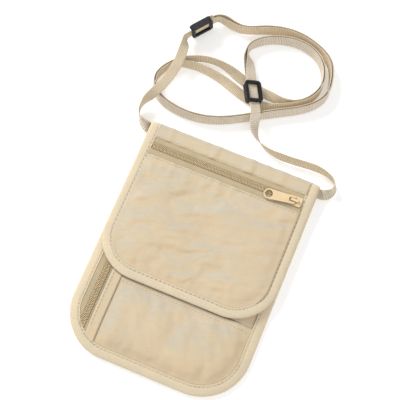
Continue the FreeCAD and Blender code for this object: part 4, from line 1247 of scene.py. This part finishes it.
def hairpin(node_name, axis):
    """Stations along a sewn loop, measured from its CAD mesh, and its three directions."""
    along = axis / np.linalg.norm(axis)
    flats = [face for face in frame["nodes"][node_name].data.polygons
             if abs(np.dot(face.normal, along)) < 0.05]
    normal = np.array(max(flats, key=lambda face: face.area).normal)
    across = np.cross(normal, along)
    places = corners_of(node_name) @ np.array([along, across, normal]).T
    (x_low, y_low, z_low), (x_high, y_high, z_high) = places.min(axis=0), places.max(axis=0)
    radius = (z_high - z_low) / 2 - STRAP_THICK / 2
    bend_x = x_low + (z_high - z_low) / 2

    def at(x, z):
        return along * x + across * (y_low + y_high) / 2 + normal * ((z_low + z_high) / 2 + z)

    line = [at(x, radius) for x in np.linspace(x_high, bend_x, 14)]
    line += [at(bend_x - radius * math.sin(turn), radius * math.cos(turn))
             for turn in np.linspace(0, math.pi, 13)[1:-1]]
    line += [at(x, -radius) for x in np.linspace(bend_x, x_high, 14)]
    ways = unit(np.gradient(np.array(line), axis=0))
    stations = [(spot, across, np.cross(way, across)) for spot, way in zip(line, ways)]
    return stations, along, across, normal


TACK_STITCHES = 11
# half the length of a tack's stitches, and how far its middle is from the loop's end
TACK_HALF = 1.5
TACK_INSET = 3.0


def sewn_loops():
    for name in ("left", "right"):
        body = name + "_adjuster"
        stations, along, across, normal = hairpin("sewn_loop_" + name, joint_axis(body + "_slide"))
        web("folded_end_" + name, stations, body, "sewn_loop_" + name)
        reach = along * TACK_HALF + across * 0.3
        shapes = []
        for end, face in ((stations[0][0], normal), (stations[-1][0], -normal)):
            for column in np.linspace(-0.43, 0.43, TACK_STITCHES) * STRAP_WIDTH:
                middle = end - along * TACK_INSET + across * column + face * (STRAP_THICK / 2 + 0.08)
                shapes.append(capsule(middle - reach, middle + reach, 0.3, face))
        join_shapes("bar_tack_" + name, shapes, TACK_LOOK, body)


# ---------------------------------------------------------------- build
pouch_panels()
flap_panels()
shell()
binding()
topstitching()
zip_tapes()
zip_chains()
hardware()
straps()
sewn_loops()


# ---------------------------------------------------------------- floor, light and camera
def floor():
    size = 3000
    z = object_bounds()[0][Z] / MM - 0.2
    look = Look("floor_look", Roughness=0.9, Emission_Color=(1, 1, 1, 1), Emission_Strength=0.3)
    tone = look.mix(colour((250, 250, 250)), colour((246, 246, 246)), look.spots(look.place("Object"), 0.2))
    look.join(tone, look.surface.inputs["Base Color"])
    corners = [(-size, -size, z), (size, -size, z), (size, size, z), (-size, size, z)]
    new_mesh("floor", corners, [(0, 1, 2, 3)], look.material)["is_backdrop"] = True


def lamp(name, spot, size, power, target=(0, 0.05, 0)):
    data = bpy.data.lights.new(name, "AREA")
    data.size = size
    data.energy = power
    light = bpy.data.objects.new(name, data)
    light.location = spot
    light.rotation_euler = (Vector(target) - Vector(spot)).to_track_quat("-Z", "Y").to_euler()
    bpy.context.scene.collection.objects.link(light)


def studio():
    floor()
    world = bpy.data.worlds.new("studio")
    world.use_nodes = True
    background = world.node_tree.nodes["Background"]
    background.inputs["Color"].default_value = (1, 1, 1, 1)
    background.inputs["Strength"].default_value = 0.53
    bpy.context.scene.world = world
    lamp("key", (-2.0, 1.3, 1.3), 1.0, 60)
    lamp("fill", (1.1, -0.9, 1.2), 1.4, 9)
    bpy.context.scene.view_settings.view_transform = "Standard"


# the camera looks down at the pouch from above its lower right corner
CAMERA_TURN = math.radians(22.56)
CAMERA_RISE = math.radians(73.34)
CAMERA_DISTANCE = 0.85
CAMERA_TARGET = Vector((-0.0124, 0.0513, 0))
CAMERA_LENS = 93.65


def camera():
    data = bpy.data.cameras.new("camera")
    data.lens = CAMERA_LENS
    data.sensor_width = 36
    back = Vector((math.sin(CAMERA_TURN) * math.cos(CAMERA_RISE),
                   -math.cos(CAMERA_TURN) * math.cos(CAMERA_RISE), math.sin(CAMERA_RISE)))
    piece = bpy.data.objects.new("camera", data)
    piece.location = CAMERA_TARGET + back * CAMERA_DISTANCE
    piece.rotation_euler = back.to_track_quat("Z", "Y").to_euler()
    bpy.context.scene.collection.objects.link(piece)
    bpy.context.scene.camera = piece


studio()
camera()
